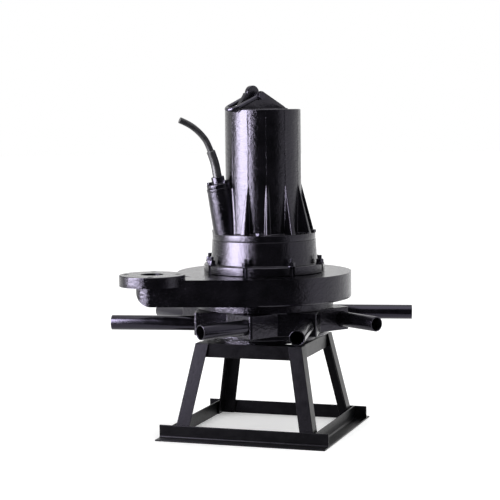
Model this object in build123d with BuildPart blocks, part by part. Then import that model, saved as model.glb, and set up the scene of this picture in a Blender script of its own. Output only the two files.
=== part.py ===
from build123d import *
from math import acos, asin, atan2, cos, degrees, hypot, pi, radians, sin, sqrt, tan

# Submersible aerator, in millimetres.
# The origin is on the floor under the motor shaft, +Z is up and +X runs along the front base rail.

# Stand of rolled angle iron: a square on the floor, four leaning legs and a smaller square on top
base_width = 500.0
stand_height = 270.0
angle_leg = 40.0
angle_wall = 4.0
angle_root = 5.0
angle_toe = 2.0
leg_root = 0.4
top_frame_margin = 4.0

# Suction cover, which closes the mixing chamber from below and stands on the top rails
cover_seat_height = 15.0
cover_height = 26.5
inlet_r = 60.0
inlet_mouth_fillet = 10.0
cover_edge_fillet = 3.0

# Mixing chamber, a pinwheel of eight teeth with an outlet leaving along each one
tooth_count = 8
swirl_angle = -79.7
chamber_height = 67.0
tooth_end_wall = 38.0
tooth_side_wall = 28.0
tooth_corner_fillet = 8.0
chamber_past_outlets = 8.0
chamber_roof = 13.0
collar_r = 200.0
collar_height = 25.0
throat_r = 62.0
gasket_thickness = 1.5

# Diffuser pipes, long and short in turn, screwed into the teeth
pipe_r = 21.2
pipe_wall = 3.25
pipe_offset = 142.0
pipe_rise = 32.0
pipe_socket_depth = 45.0
channel_r = 18.6
long_pipe_end = 421.5
short_pipe_end = 329.6
socket_clearance = 0.05

# Air chamber, a flat round casting with an arm that leaves it as a tangent
volute_r = 252.7
volute_height = 75.0
volute_wall = 8.0
volute_edge_fillet = 6.0
arm_angle = 194.0
arm_half_width = 46.0
arm_reach = 299.6
arm_heel_r = 48.0
lid_opening_r = 125.0
air_flange_r = 92.5
air_flange_thickness = 31.0
air_flange_rise = 12.0
air_flange_fillet = 3.0
air_bore_r = 32.5
air_bolt_edge = 20.0
air_bolt_count = 4
air_bolt_hole_r = 9.0
air_bolt_turn = 18.0
air_bolt_depth = 26.0

# Oil chamber with the flange that the long studs clamp
drum_flange_r = 175.0
drum_flange_thickness = 24.5
drum_foot_r = 154.5
drum_top_r = 150.3
drum_height = 92.5
drum_bore_r = 126.0
drum_floor = 13.5
drum_edge_fillet = 5.0
drum_root_fillet = 4.0
seam_fillet = 1.5
stud_count = 8
stud_edge = 7.0
stud_r = 6.0
stud_chamfer = 1.0
stud_sink = 20.0
stud_above = 24.0
stud_hole_clearance = 0.75
pillar_r = 14.0
nut_flats = 19.0
nut_height = 10.8
washer_r = 12.0
washer_thickness = 2.5
spot_face_clearance = 0.6
plug_r = 10.0
plug_head_flats = 24.0
plug_head_height = 9.0
plug_angle = 67.5
plug_rise = 38.0
plug_seat_depth = 1.5
plug_seat_clearance = 3.0

# Motor shell, one casting with a closed top, a bottom ring, buttress ribs and the cable entry
ring_r = 149.5
ring_height = 19.0
shell_foot_r = 110.2
shell_top_r = 109.0
shell_bore_r = 100.0
shell_height = 374.0
shell_roof = 14.0
shell_edge_fillet = 3.0
rib_count = 12
rib_angle = -66.7
rib_height = 142.0
rib_foot_r = 146.0
rib_foot_width = 14.0
rib_top_width = 5.0
rib_entry_gap = 20.0
entry_angle = 216.5
entry_foot_r = 110.5
entry_top_r = 133.5
entry_height = 133.0
entry_base_r = 39.0
entry_r = 36.0
entry_lip_r = 37.5
entry_lip_height = 9.0
entry_bore_r = 22.0
entry_bore_depth = 96.0
ledge_screw_count = 4
ledge_screw_angle = -77.5
ledge_screw_edge = 8.5
ledge_screw_r = 6.0
ledge_screw_flats = 18.0
ledge_screw_head = 8.0
ledge_screw_depth = 30.0

# Cable gland: a clamp plate on three bolts, a rubber seal under it and the tapered sleeve above
gland_r = 35.5
gland_thickness = 12.0
gland_boss_r = 19.0
gland_boss_height = 20.0
gland_bore_r = 13.7
gland_seal_height = 14.0
gland_bolt_count = 3
gland_bolt_edge = 8.5
gland_bolt_r = 4.0
gland_bolt_flats = 13.0
gland_bolt_head = 8.0
gland_bolt_depth = 16.0
gland_shell_clearance = 2.5
sleeve_r = 13.5
cable_r = 9.0

# Power cable: the sleeve's straight stretch, its end, then the cable's points, each given as
# distance from the shaft line and height in the upright plane of the cable entry
sleeve_straight = 71.0
sleeve_end = (158.5, 816.0)
cable_first_run = 25.0
corner_share = 0.45
cable_route = [(182.8, 860.5), (202.2, 879.3), (224.6, 894.4), (248.5, 904.6)]

# Lifting lug, a plate across the top of the motor
lug_angle = 58.5
lug_thickness = 14.0
lug_back = -100.0
lug_front = 92.0
lug_apex = -40.0
lug_height = 68.0
lug_round = 22.0
lug_hole_at = -32.0
lug_hole_rise = 39.0

# Bow shackle through the lug
shackle_bar_r = 6.5
shackle_pin_r = 7.0
shackle_half_gap = 17.0
shackle_length = 102.0
shackle_eye_r = 13.0
shackle_rest_gap = 0.3
shackle_pin_clearance = 0.3
shackle_pin_head_flats = 20.0
shackle_pin_head = 7.0
shackle_pin_nut = 9.0
shackle_pin_tip = 3.0

# Shaft and what turns with it
impeller_seat_r = 16.0
seal_seat_r = 19.0
lower_journal_r = 20.0
core_seat_r = 25.0
upper_journal_r = 15.0
impeller_r = 118.0
impeller_hub_r = 27.0
impeller_disc = 6.0
impeller_lower_gap = 2.5
impeller_vane_drop = 22.0
impeller_vane_rise = 18.0
vane_count = 8
vane_thickness = 6.0
vane_sweep = 48.0
vane_belly = 0.4
vane_root_r = 40.0
air_vane_root_r = 70.0
impeller_bolt_r = 8.0
impeller_bolt_flats = 24.0
impeller_bolt_head = 10.0
impeller_washer_r = 25.0
impeller_washer_thickness = 4.0
key_width = 10.0
key_height = 8.0
key_length = 32.0
key_rise = 8.0
running_clearance = 0.05

# Bearings, bracket and seals
lower_bearing_r = 45.0
lower_bearing_width = 23.0
upper_bearing_r = 36.0
upper_bearing_width = 19.0
bearing_ring = 6.5
bearing_shield = 1.2
shoulder_run = 1.0
shoulder_gap = 2.0
bracket_r = 132.0
bracket_thickness = 10.0
bracket_hub_r = 58.0
bracket_hub_drop = 22.0
bracket_hub_rise = 16.0
bracket_throat_r = 24.0
bearing_cap_r = 57.0
bearing_cap_thickness = 7.0
bearing_cap_clearance = 2.0
boss_wall = 10.0
upper_bearing_lip = 3.0
seal_seat_outer_r = 31.0
seal_seat_height = 12.0
seal_ring_r = 28.0
seal_ring_height = 20.0
seal_face_gap = 0.1
seal_shaft_gap = 1.0

# Motor windings and cores
core_bottom = 646.0
core_height = 160.0
air_gap = 0.5
stator_inner_r = 60.0
winding_outer_r = 94.0
winding_inner_r = 66.0
winding_height = 36.0
rotor_cap_height = 12.0
rotor_cap_r = 52.0

# Fasteners of the stand and the cover
cover_bolt_gap = 7.4
cover_bolt_edge = 18.0
cover_bolt_r = 5.0
cover_bolt_flats = 16.0
cover_bolt_head = 6.4
cover_bolt_depth = 14.0
stand_bolt_count = 4
stand_bolt_edge = 16.0
stand_bolt_r = 6.0
stand_bolt_flats = 18.0
stand_bolt_head = 7.5
stand_bolt_depth = 15.0
bolt_hole_clearance = 0.5
bolt_end_gap = 1.0
thread_clearance = 0.05

# Levels and reaches that follow from the sizes above: the cover's bolts pass just outside the
# outlets, the cover and its seat follow the bolts, and the stand's top frame follows the seat
cover_bolt_circle_r = pipe_offset + channel_r + cover_bolt_gap
cover_rim_r = cover_bolt_circle_r + cover_bolt_edge
cover_seat_r = cover_bolt_circle_r - cover_bolt_edge
stand_bolt_circle_r = cover_seat_r - stand_bolt_edge
top_frame_width = 2 * (cover_seat_r + top_frame_margin)
tooth_reach = pipe_offset + tooth_end_wall
tooth_side = pipe_offset + tooth_side_wall
chamber_r = pipe_offset + chamber_past_outlets
air_bolt_circle_r = air_flange_r - air_bolt_edge
stud_circle_r = drum_flange_r - stud_edge
ledge_screw_circle_r = ring_r - ledge_screw_edge
gland_bolt_circle_r = gland_r - gland_bolt_edge
foot_reach = base_width / 2 - angle_leg
leg_top_reach = top_frame_width / 2 + angle_wall
cover_bottom = stand_height
cover_top = cover_bottom + cover_height
chamber_bottom = cover_top + gasket_thickness
tooth_top = cover_top + chamber_height
collar_top = tooth_top + collar_height
volute_bottom = collar_top + gasket_thickness
volute_top = volute_bottom + volute_height
drum_bottom = volute_top + gasket_thickness
flange_top = drum_bottom + drum_flange_thickness
drum_top = drum_bottom + drum_height
ring_top = drum_top + ring_height
shell_top = drum_top + shell_height
pipe_level = chamber_bottom + pipe_rise
pipe_bore_r = pipe_r - pipe_wall
pipe_start = tooth_reach - pipe_socket_depth
chamber_ceiling = tooth_top - chamber_roof
air_flange_top = volute_top + air_flange_rise
air_flange_bottom = air_flange_top - air_flange_thickness
arm_offset = volute_r - arm_half_width
stud_bottom = collar_top - stud_sink
stud_top = flange_top + stud_above
bracket_bottom = drum_top - bracket_thickness
upper_bearing_top = shell_top - shell_roof
core_top = core_bottom + core_height

parts = {}


def keep(name, solid):
    # Names the finished piece and writes it to its own file
    solid.label = name
    export_step(solid, f"parts/{name}.step")
    parts[name] = solid


def direction(angle, height=0.0):
    return Vector(cos(radians(angle)), sin(radians(angle)), height)


def around(angle, radius, height):
    # A point given by its angle about the shaft, its distance from it and its height
    return Vector(radius * cos(radians(angle)), radius * sin(radians(angle)), height)


def ring_of(inner, outer, bottom, top):
    # A plain ring about the shaft
    with BuildPart() as ring:
        with BuildSketch(Plane.XY.offset(bottom)):
            Circle(outer)
            Circle(inner, mode=Mode.SUBTRACT)
        extrude(amount=top - bottom)
    return ring.part


def turned(outline):
    # A solid of revolution about the shaft from points given as radius and height
    with BuildPart() as body:
        with BuildSketch(Plane.XZ):
            with BuildLine():
                Polyline(*outline, close=True)
            make_face()
        revolve(axis=Axis.Z)
    return body.part


def hex_bolt(shank_r, shank_length, flats, head):
    # A hexagon bolt with the head's seat at z = 0, its shank below and its head above
    with BuildPart() as bolt:
        with BuildSketch():
            RegularPolygon(flats / 2, 6, major_radius=False)
        extrude(amount=head)
        with BuildSketch():
            Circle(shank_r)
        extrude(amount=-shank_length)
    return bolt.part


def placed_copies(piece, frames):
    # The same piece set at each frame, as one group of separate solids
    return Compound(children=[piece.moved(frame.location) for frame in frames])


def ring_frames(count, radius, height, start=0.0, flip=False):
    # Upright frames in a circle, or frames that look down when flipped
    frames = []
    for index in range(count):
        angle = start + index * 360.0 / count
        looks = (0, 0, -1) if flip else (0, 0, 1)
        frames.append(Plane(around(angle, radius, height), x_dir=direction(angle), z_dir=looks))
    return frames


# Stand

def angle_section(root):
    # Angle iron with its heel at the origin, rounded inside the heel by the root radius
    with BuildSketch() as section:
        with BuildLine():
            Polyline(
                (0, 0),
                (angle_leg, 0),
                (angle_leg, angle_wall),
                (angle_wall, angle_wall),
                (angle_wall, angle_leg),
                (0, angle_leg),
                close=True,
            )
        make_face()

        def corner(x, y):
            return section.vertices().sort_by_distance((x, y, 0))[0]

        fillet(corner(angle_leg, angle_wall), angle_toe)
        fillet(corner(angle_wall, angle_leg), angle_toe)
        fillet(corner(angle_wall, angle_wall), root)
    return section.sketch


rail_section = angle_section(angle_root)
# The legs hold the mitred corners of the top rails, so their inside corner is nearly sharp
leg_section = angle_section(leg_root)

sides = {"front": -90.0, "right": 0.0, "rear": 90.0, "left": 180.0}

for side, angle in sides.items():
    outward = direction(angle)
    along = direction(angle - 90)
    runs_through = side in ("front", "rear")
    base_length = base_width if runs_through else 2 * foot_reach
    start = outward * foot_reach - along * (base_length / 2)
    with BuildPart() as base_rail:
        with BuildSketch(Plane(start, x_dir=outward, z_dir=along)):
            add(rail_section)
        extrude(amount=base_length)
    keep(f"base_rail_{side}", base_rail.part)

    heel = outward * (top_frame_width / 2) - along * (top_frame_width / 2)
    heel += Vector(0, 0, stand_height)
    with BuildPart() as top_rail:
        with BuildSketch(Plane(heel, x_dir=-outward, z_dir=along)):
            add(rail_section)
        extrude(amount=top_frame_width)
        for turn in (-45, 45):
            split(bisect_by=Plane((0, 0, 0), z_dir=direction(angle + 180 + turn)), keep=Keep.BOTTOM)
        bolt_seat = around(angle, stand_bolt_circle_r, stand_height - angle_wall)
        with Locations(Plane(bolt_seat, z_dir=(0, 0, 1))):
            Cylinder(stand_bolt_r + bolt_hole_clearance, 4 * angle_wall, mode=Mode.SUBTRACT)
    keep(f"top_rail_{side}", top_rail.part)

for name, side_x, side_y in (
    ("front_left", -1, -1),
    ("front_right", 1, -1),
    ("rear_left", -1, 1),
    ("rear_right", 1, 1),
):
    with BuildPart() as leg:
        for reach, level in ((foot_reach, 0.0), (leg_top_reach, stand_height)):
            corner = (side_x * reach, side_y * reach, level)
            with BuildSketch(Plane(corner, x_dir=(-side_x, 0, 0), z_dir=(0, 0, side_x * side_y))):
                add(leg_section)
        loft(ruled=True)
    keep(f"leg_{name}", leg.part)

# Suction cover

cover_rim_bottom = cover_bottom + cover_seat_height
stand_bolt_frames = ring_frames(
    stand_bolt_count, stand_bolt_circle_r, stand_height - angle_wall, flip=True
)
lean_near = degrees(acos((pipe_offset + channel_r) / cover_bolt_circle_r))
lean_far = degrees(acos((pipe_offset - channel_r) / cover_bolt_circle_r))
tooth_pitch = 360.0 / tooth_count
cover_bolt_angle = swirl_angle + 90 - (lean_near + lean_far - tooth_pitch) / 2
cover_bolt_frames = ring_frames(
    tooth_count, cover_bolt_circle_r, cover_rim_bottom, cover_bolt_angle, flip=True
)

with BuildPart() as suction_cover:
    with BuildSketch(Plane.XZ) as cover_profile:
        with BuildLine():
            Polyline(
                (inlet_r, cover_bottom),
                (cover_seat_r, cover_bottom),
                (cover_seat_r, cover_rim_bottom),
                (cover_rim_r, cover_rim_bottom),
                (cover_rim_r, cover_top),
                (inlet_r, cover_top),
                close=True,
            )
        make_face()
        points = cover_profile.vertices()
        fillet(points.sort_by(SortBy.DISTANCE)[0], inlet_mouth_fillet)
        fillet(cover_profile.vertices().filter_by(lambda v: v.X == cover_rim_r), cover_edge_fillet)
    revolve(axis=Axis.Z)
    for frame in cover_bolt_frames:
        with Locations(frame):
            Cylinder(cover_bolt_r + bolt_hole_clearance, 4 * cover_height, mode=Mode.SUBTRACT)
    with BuildSketch(Plane.XY.offset(cover_bottom)):
        with PolarLocations(stand_bolt_circle_r, stand_bolt_count):
            Circle(stand_bolt_r + thread_clearance)
    extrude(amount=stand_bolt_depth, mode=Mode.SUBTRACT)
keep("suction_cover", suction_cover.part)

stand_bolt_length = angle_wall + stand_bolt_depth - bolt_end_gap
stand_bolt = hex_bolt(stand_bolt_r, stand_bolt_length, stand_bolt_flats, stand_bolt_head)
keep("stand_bolts", placed_copies(stand_bolt, stand_bolt_frames))

cover_bolt_reach = cover_top - cover_rim_bottom + gasket_thickness + cover_bolt_depth
cover_bolt_length = cover_bolt_reach - bolt_end_gap
cover_bolt = hex_bolt(cover_bolt_r, cover_bolt_length, cover_bolt_flats, cover_bolt_head)
keep("cover_bolts", placed_copies(cover_bolt, cover_bolt_frames))

with BuildPart() as cover_gasket:
    with BuildSketch(Plane.XY.offset(cover_top)):
        Circle(cover_rim_r)
        Circle(chamber_r, mode=Mode.SUBTRACT)
        with PolarLocations(cover_bolt_circle_r, tooth_count, start_angle=cover_bolt_angle):
            Circle(cover_bolt_r + bolt_hole_clearance, mode=Mode.SUBTRACT)
    extrude(amount=gasket_thickness)
keep("cover_gasket", cover_gasket.part)

# Mixing chamber


def tooth_axes(index):
    # The way one outlet runs, and the way across it to the outlet's own side
    angle = swirl_angle + index * tooth_pitch
    return direction(angle), direction(angle + 90)


def outlet_plane(index, distance):
    # The plane across one outlet at a distance along it
    along, across = tooth_axes(index)
    centre = along * distance + across * pipe_offset + Vector(0, 0, pipe_level)
    return Plane(centre, x_dir=across, z_dir=along)


# Where one tooth's end meets the next tooth's side, measured across the outlet
notch_side = tooth_side / cos(radians(tooth_pitch)) - tooth_reach * tan(radians(tooth_pitch))
pinwheel = []
for index in range(tooth_count):
    along, across = tooth_axes(index)
    pinwheel.append(along * tooth_reach + across * notch_side)
    pinwheel.append(along * tooth_reach + across * tooth_side)

with BuildPart() as mixing_chamber:
    with BuildSketch(Plane.XY.offset(chamber_bottom)) as teeth:
        with BuildLine():
            Polyline(*pinwheel, close=True)
        make_face()
        tips = teeth.vertices().group_by(SortBy.DISTANCE)[-1]
        fillet(tips, tooth_corner_fillet)
    extrude(amount=tooth_top - chamber_bottom)
    with BuildSketch(Plane.XY.offset(tooth_top)):
        Circle(collar_r)
    extrude(amount=collar_height)
    with BuildSketch(Plane.XY.offset(chamber_bottom)):
        Circle(chamber_r)
    extrude(amount=chamber_ceiling - chamber_bottom, mode=Mode.SUBTRACT)
    with BuildSketch(Plane.XY.offset(chamber_ceiling)):
        Circle(throat_r)
    extrude(amount=collar_top - chamber_ceiling, mode=Mode.SUBTRACT)
    for index in range(tooth_count):
        with BuildSketch(outlet_plane(index, 0)):
            Circle(channel_r)
        extrude(amount=tooth_reach, mode=Mode.SUBTRACT)
        with BuildSketch(outlet_plane(index, pipe_start)):
            Circle(pipe_r + socket_clearance)
        extrude(amount=2 * pipe_socket_depth, mode=Mode.SUBTRACT)
    with BuildSketch(Plane.XY.offset(chamber_bottom)):
        with PolarLocations(cover_bolt_circle_r, tooth_count, start_angle=cover_bolt_angle):
            Circle(cover_bolt_r + thread_clearance)
    extrude(amount=cover_bolt_depth, mode=Mode.SUBTRACT)
    with BuildSketch(Plane.XY.offset(collar_top)):
        with PolarLocations(stud_circle_r, stud_count):
            Circle(stud_r + thread_clearance)
    extrude(amount=-stud_sink, mode=Mode.SUBTRACT)
keep("mixing_chamber", mixing_chamber.part)

for index in range(tooth_count):
    pipe_end = long_pipe_end if index % 2 == 0 else short_pipe_end
    with BuildPart() as pipe:
        with BuildSketch(outlet_plane(index, pipe_start)):
            Circle(pipe_r)
            Circle(pipe_bore_r, mode=Mode.SUBTRACT)
        extrude(amount=pipe_end - pipe_start)
    keep(f"diffuser_pipe_{index + 1}", pipe.part)

with BuildPart() as chamber_gasket:
    with BuildSketch(Plane.XY.offset(collar_top)):
        Circle(collar_r)
        Circle(throat_r, mode=Mode.SUBTRACT)
        with PolarLocations(stud_circle_r, stud_count):
            Circle(stud_r + stud_hole_clearance, mode=Mode.SUBTRACT)
    extrude(amount=gasket_thickness)
keep("chamber_gasket", chamber_gasket.part)

# Air chamber

arm_along = direction(arm_angle)
arm_across = direction(arm_angle + 90)
air_inlet_centre = arm_along * arm_reach + arm_across * arm_offset


def arm_body(inset, roof_level):
    # The arm, or with an inset the space inside it, rounded at the heel of its outer end
    half = arm_half_width - inset
    floor_level = volute_bottom + inset
    outer_side = arm_across * (arm_offset + half)
    with BuildPart() as arm:
        with BuildSketch(Plane(outer_side, x_dir=arm_along, z_dir=-arm_across)):
            with BuildLine():
                floor = Line((0, floor_level), (arm_reach + half - arm_heel_r + inset, floor_level))
                heel = JernArc(floor @ 1, floor % 1, arm_heel_r - inset, 90)
                Polyline(heel @ 1, (arm_reach + half, roof_level), (0, roof_level), (0, floor_level))
            make_face()
        extrude(amount=2 * half)
        plan = Plane((0, 0, floor_level), x_dir=arm_along, z_dir=(0, 0, 1))
        with BuildSketch(plan):
            with Locations((arm_reach / 2, arm_offset)):
                Rectangle(arm_reach, 2 * half)
            with Locations((arm_reach, arm_offset)):
                Circle(half)
        extrude(amount=roof_level - floor_level, mode=Mode.INTERSECT)
    return arm.part


with BuildPart() as air_space:
    with BuildSketch(Plane.XY.offset(volute_bottom + volute_wall)):
        Circle(volute_r - volute_wall)
    extrude(amount=volute_height - 2 * volute_wall)
    add(arm_body(volute_wall, air_flange_bottom))
    with BuildSketch(Plane.XY.offset(volute_bottom)):
        with PolarLocations(stud_circle_r, stud_count):
            Circle(pillar_r)
    extrude(amount=volute_height, mode=Mode.SUBTRACT)

air_bolt_pitch = 360.0 / air_bolt_count
air_flange_plane = Plane(
    air_inlet_centre + Vector(0, 0, air_flange_bottom),
    x_dir=direction(air_bolt_turn),
    z_dir=(0, 0, 1),
)

with BuildPart() as air_chamber:
    with BuildSketch(Plane.XY.offset(volute_bottom)):
        Circle(volute_r)
    extrude(amount=volute_height)
    fillet(air_chamber.edges().sort_by(Axis.Z)[0], volute_edge_fillet)
    add(arm_body(0, volute_top))
    with BuildSketch(air_flange_plane):
        Circle(air_flange_r)
    extrude(amount=air_flange_thickness)
    fillet(air_chamber.edges().sort_by(Axis.Z)[-1], air_flange_fillet)
    add(air_space.part, mode=Mode.SUBTRACT)
    with BuildSketch(air_flange_plane):
        Circle(air_bore_r)
    extrude(amount=air_flange_thickness, mode=Mode.SUBTRACT)
    with BuildSketch(air_flange_plane.offset(air_flange_thickness)):
        with PolarLocations(air_bolt_circle_r, air_bolt_count):
            Circle(air_bolt_hole_r)
    extrude(amount=-air_bolt_depth, mode=Mode.SUBTRACT)
    with BuildSketch(air_flange_plane):
        with PolarLocations(
            air_bolt_circle_r,
            air_bolt_count - 1,
            start_angle=air_bolt_pitch,
            angular_range=360 - air_bolt_pitch,
        ):
            Circle(air_bolt_hole_r)
    extrude(amount=air_flange_thickness, mode=Mode.SUBTRACT)
    with BuildSketch(Plane.XY.offset(volute_top)):
        Circle(lid_opening_r)
    extrude(amount=-volute_wall, mode=Mode.SUBTRACT)
    with BuildSketch(Plane.XY.offset(volute_bottom)):
        Circle(throat_r)
    extrude(amount=volute_wall, mode=Mode.SUBTRACT)
    with BuildSketch(Plane.XY.offset(volute_bottom)):
        with PolarLocations(stud_circle_r, stud_count):
            Circle(stud_r + stud_hole_clearance)
    extrude(amount=volute_height, mode=Mode.SUBTRACT)
keep("air_chamber", air_chamber.part)

with BuildPart() as drum_gasket:
    with BuildSketch(Plane.XY.offset(volute_top)):
        Circle(stud_circle_r - stud_r - stud_hole_clearance)
        Circle(lid_opening_r, mode=Mode.SUBTRACT)
    extrude(amount=gasket_thickness)
keep("drum_gasket", drum_gasket.part)

# Long studs through the oil chamber's flange and the air chamber into the mixing chamber

stud_frames = ring_frames(stud_count, stud_circle_r, stud_bottom)
washer_frames = ring_frames(stud_count, stud_circle_r, flange_top)
nut_frames = ring_frames(stud_count, stud_circle_r, flange_top + washer_thickness)

with BuildPart() as stud:
    Cylinder(stud_r, stud_top - stud_bottom, align=(Align.CENTER, Align.CENTER, Align.MIN))
    chamfer(stud.edges().sort_by(Axis.Z)[-1], stud_chamfer)
keep("flange_studs", placed_copies(stud.part, stud_frames))

washer = ring_of(stud_r + bolt_hole_clearance, washer_r, 0, washer_thickness)
keep("flange_washers", placed_copies(washer, washer_frames))

with BuildPart() as nut:
    with BuildSketch():
        RegularPolygon(nut_flats / 2, 6, major_radius=False)
        Circle(stud_r + thread_clearance, mode=Mode.SUBTRACT)
    extrude(amount=nut_height)
keep("flange_nuts", placed_copies(nut.part, nut_frames))

# Oil chamber

drum_floor_top = drum_bottom + drum_floor
plug_direction = direction(plug_angle)
plug_lean = (drum_foot_r - drum_top_r) / (drum_top - flange_top)
plug_level = flange_top + plug_rise
plug_wall_r = drum_foot_r - plug_lean * plug_rise - plug_seat_depth
plug_wall = plug_wall_r - drum_bore_r
plug_plane = Plane(around(plug_angle, plug_wall_r, plug_level), x_dir=(0, 0, 1), z_dir=plug_direction)

with BuildPart() as oil_chamber:
    with BuildSketch(Plane.XZ) as drum_profile:
        with BuildLine():
            Polyline(
                (seal_seat_outer_r, drum_bottom),
                (drum_flange_r, drum_bottom),
                (drum_flange_r, flange_top),
                (drum_foot_r, flange_top),
                (drum_top_r, drum_top),
                (bracket_r, drum_top),
                (bracket_r, bracket_bottom),
                (drum_bore_r, bracket_bottom),
                (drum_bore_r, drum_floor_top),
                (seal_seat_outer_r, drum_floor_top),
                close=True,
            )
        make_face()

        def profile_corner(radius, level):
            return drum_profile.vertices().sort_by_distance((radius, level, 0))[0]

        fillet(profile_corner(drum_flange_r, flange_top), drum_edge_fillet)
        fillet(profile_corner(drum_foot_r, flange_top), drum_root_fillet)
        fillet(profile_corner(drum_top_r, drum_top), seam_fillet)
        fillet(profile_corner(drum_bore_r, drum_floor_top), drum_edge_fillet)
    revolve(axis=Axis.Z)
    with BuildSketch(Plane.XY.offset(drum_bottom)):
        with PolarLocations(stud_circle_r, stud_count):
            Circle(stud_r + stud_hole_clearance)
            notch_width = 2 * (stud_r + stud_hole_clearance)
            Rectangle(stud_circle_r, notch_width, align=(Align.MIN, Align.CENTER))
    extrude(amount=drum_flange_thickness, mode=Mode.SUBTRACT)
    with BuildSketch(Plane.XY.offset(flange_top)):
        with PolarLocations(stud_circle_r, stud_count):
            Circle(washer_r + spot_face_clearance)
    extrude(amount=stud_above, mode=Mode.SUBTRACT)
    with BuildSketch(Plane.XY.offset(drum_top)):
        with PolarLocations(ledge_screw_circle_r, ledge_screw_count, start_angle=ledge_screw_angle):
            Circle(ledge_screw_r + thread_clearance)
    extrude(amount=-ledge_screw_depth, mode=Mode.SUBTRACT)
    with BuildSketch(plug_plane):
        Circle(plug_r + thread_clearance)
    extrude(amount=-2 * plug_wall, mode=Mode.SUBTRACT)
    with BuildSketch(plug_plane):
        Circle(plug_head_flats / 2 + plug_seat_clearance)
    extrude(amount=plug_head_height, mode=Mode.SUBTRACT)
keep("oil_chamber", oil_chamber.part)

oil_plug = hex_bolt(plug_r, plug_wall - bolt_end_gap, plug_head_flats, plug_head_height)
keep("oil_plug", oil_plug.moved(plug_plane.location))

# Bearing bracket between the oil chamber and the motor

bracket_hub_top = drum_top + bracket_hub_rise
bracket_hub_bottom = bracket_bottom - bracket_hub_drop
bearing_floor = bracket_hub_top - lower_bearing_width
with BuildPart() as bearing_bracket:
    add(
        turned(
            [
                (bracket_throat_r, bracket_hub_bottom + seal_seat_height),
                (seal_seat_outer_r, bracket_hub_bottom + seal_seat_height),
                (seal_seat_outer_r, bracket_hub_bottom),
                (bracket_hub_r, bracket_hub_bottom),
                (bracket_hub_r, bracket_bottom),
                (bracket_r - bolt_hole_clearance, bracket_bottom),
                (bracket_r - bolt_hole_clearance, drum_top),
                (bracket_hub_r, drum_top),
                (bracket_hub_r, bracket_hub_top),
                (lower_bearing_r, bracket_hub_top),
                (lower_bearing_r, bearing_floor),
                (bracket_throat_r, bearing_floor),
            ]
        )
    )
keep("bearing_bracket", bearing_bracket.part)


def bearing(inner, outer, bottom, width):
    # A shielded ball bearing as one ring, its shields set in between the two races
    top = bottom + width
    return turned(
        [
            (inner, bottom),
            (inner + bearing_ring, bottom),
            (inner + bearing_ring, bottom + bearing_shield),
            (outer - bearing_ring, bottom + bearing_shield),
            (outer - bearing_ring, bottom),
            (outer, bottom),
            (outer, top),
            (outer - bearing_ring, top),
            (outer - bearing_ring, top - bearing_shield),
            (inner + bearing_ring, top - bearing_shield),
            (inner + bearing_ring, top),
            (inner, top),
        ]
    )


keep(
    "lower_bearing",
    bearing(lower_journal_r + running_clearance, lower_bearing_r, bearing_floor, lower_bearing_width),
)
upper_bearing_bottom = upper_bearing_top - upper_bearing_width
keep(
    "upper_bearing",
    bearing(
        upper_journal_r + running_clearance, upper_bearing_r, upper_bearing_bottom, upper_bearing_width
    ),
)
keep(
    "bearing_cap",
    ring_of(
        lower_journal_r + bearing_cap_clearance,
        bearing_cap_r,
        bracket_hub_top,
        bracket_hub_top + bearing_cap_thickness,
    ),
)

# Motor shell

entry_lean = degrees(atan2(entry_top_r - entry_foot_r, entry_height))
entry_out = direction(entry_angle)
entry_axis = entry_out * sin(radians(entry_lean)) + Vector(0, 0, cos(radians(entry_lean)))
entry_length = hypot(entry_top_r - entry_foot_r, entry_height)
entry_foot = around(entry_angle, entry_foot_r, ring_top)
entry_root = ring_height / 2


def entry_plane(distance):
    # The plane across the cable entry at a distance up its leaning axis
    return Plane(entry_foot + entry_axis * distance, x_dir=entry_out, z_dir=entry_axis)


# The ribs go round the barrel, apart from those that the cable entry takes the place of
rib_turns = [rib_angle + turn * 360 / rib_count for turn in range(rib_count)]
rib_turns = [
    turn for turn in rib_turns if abs((turn - entry_angle + 180) % 360 - 180) > rib_entry_gap
]

with BuildPart() as rib:
    for level, reach, width in (
        (ring_top, rib_foot_r, rib_foot_width),
        (ring_top + rib_height, shell_foot_r, rib_top_width),
    ):
        with BuildSketch(Plane.XY.offset(level)):
            with Locations(((shell_bore_r + reach) / 2, 0)):
                Rectangle(reach - shell_bore_r, width)
    loft(ruled=True)

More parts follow.
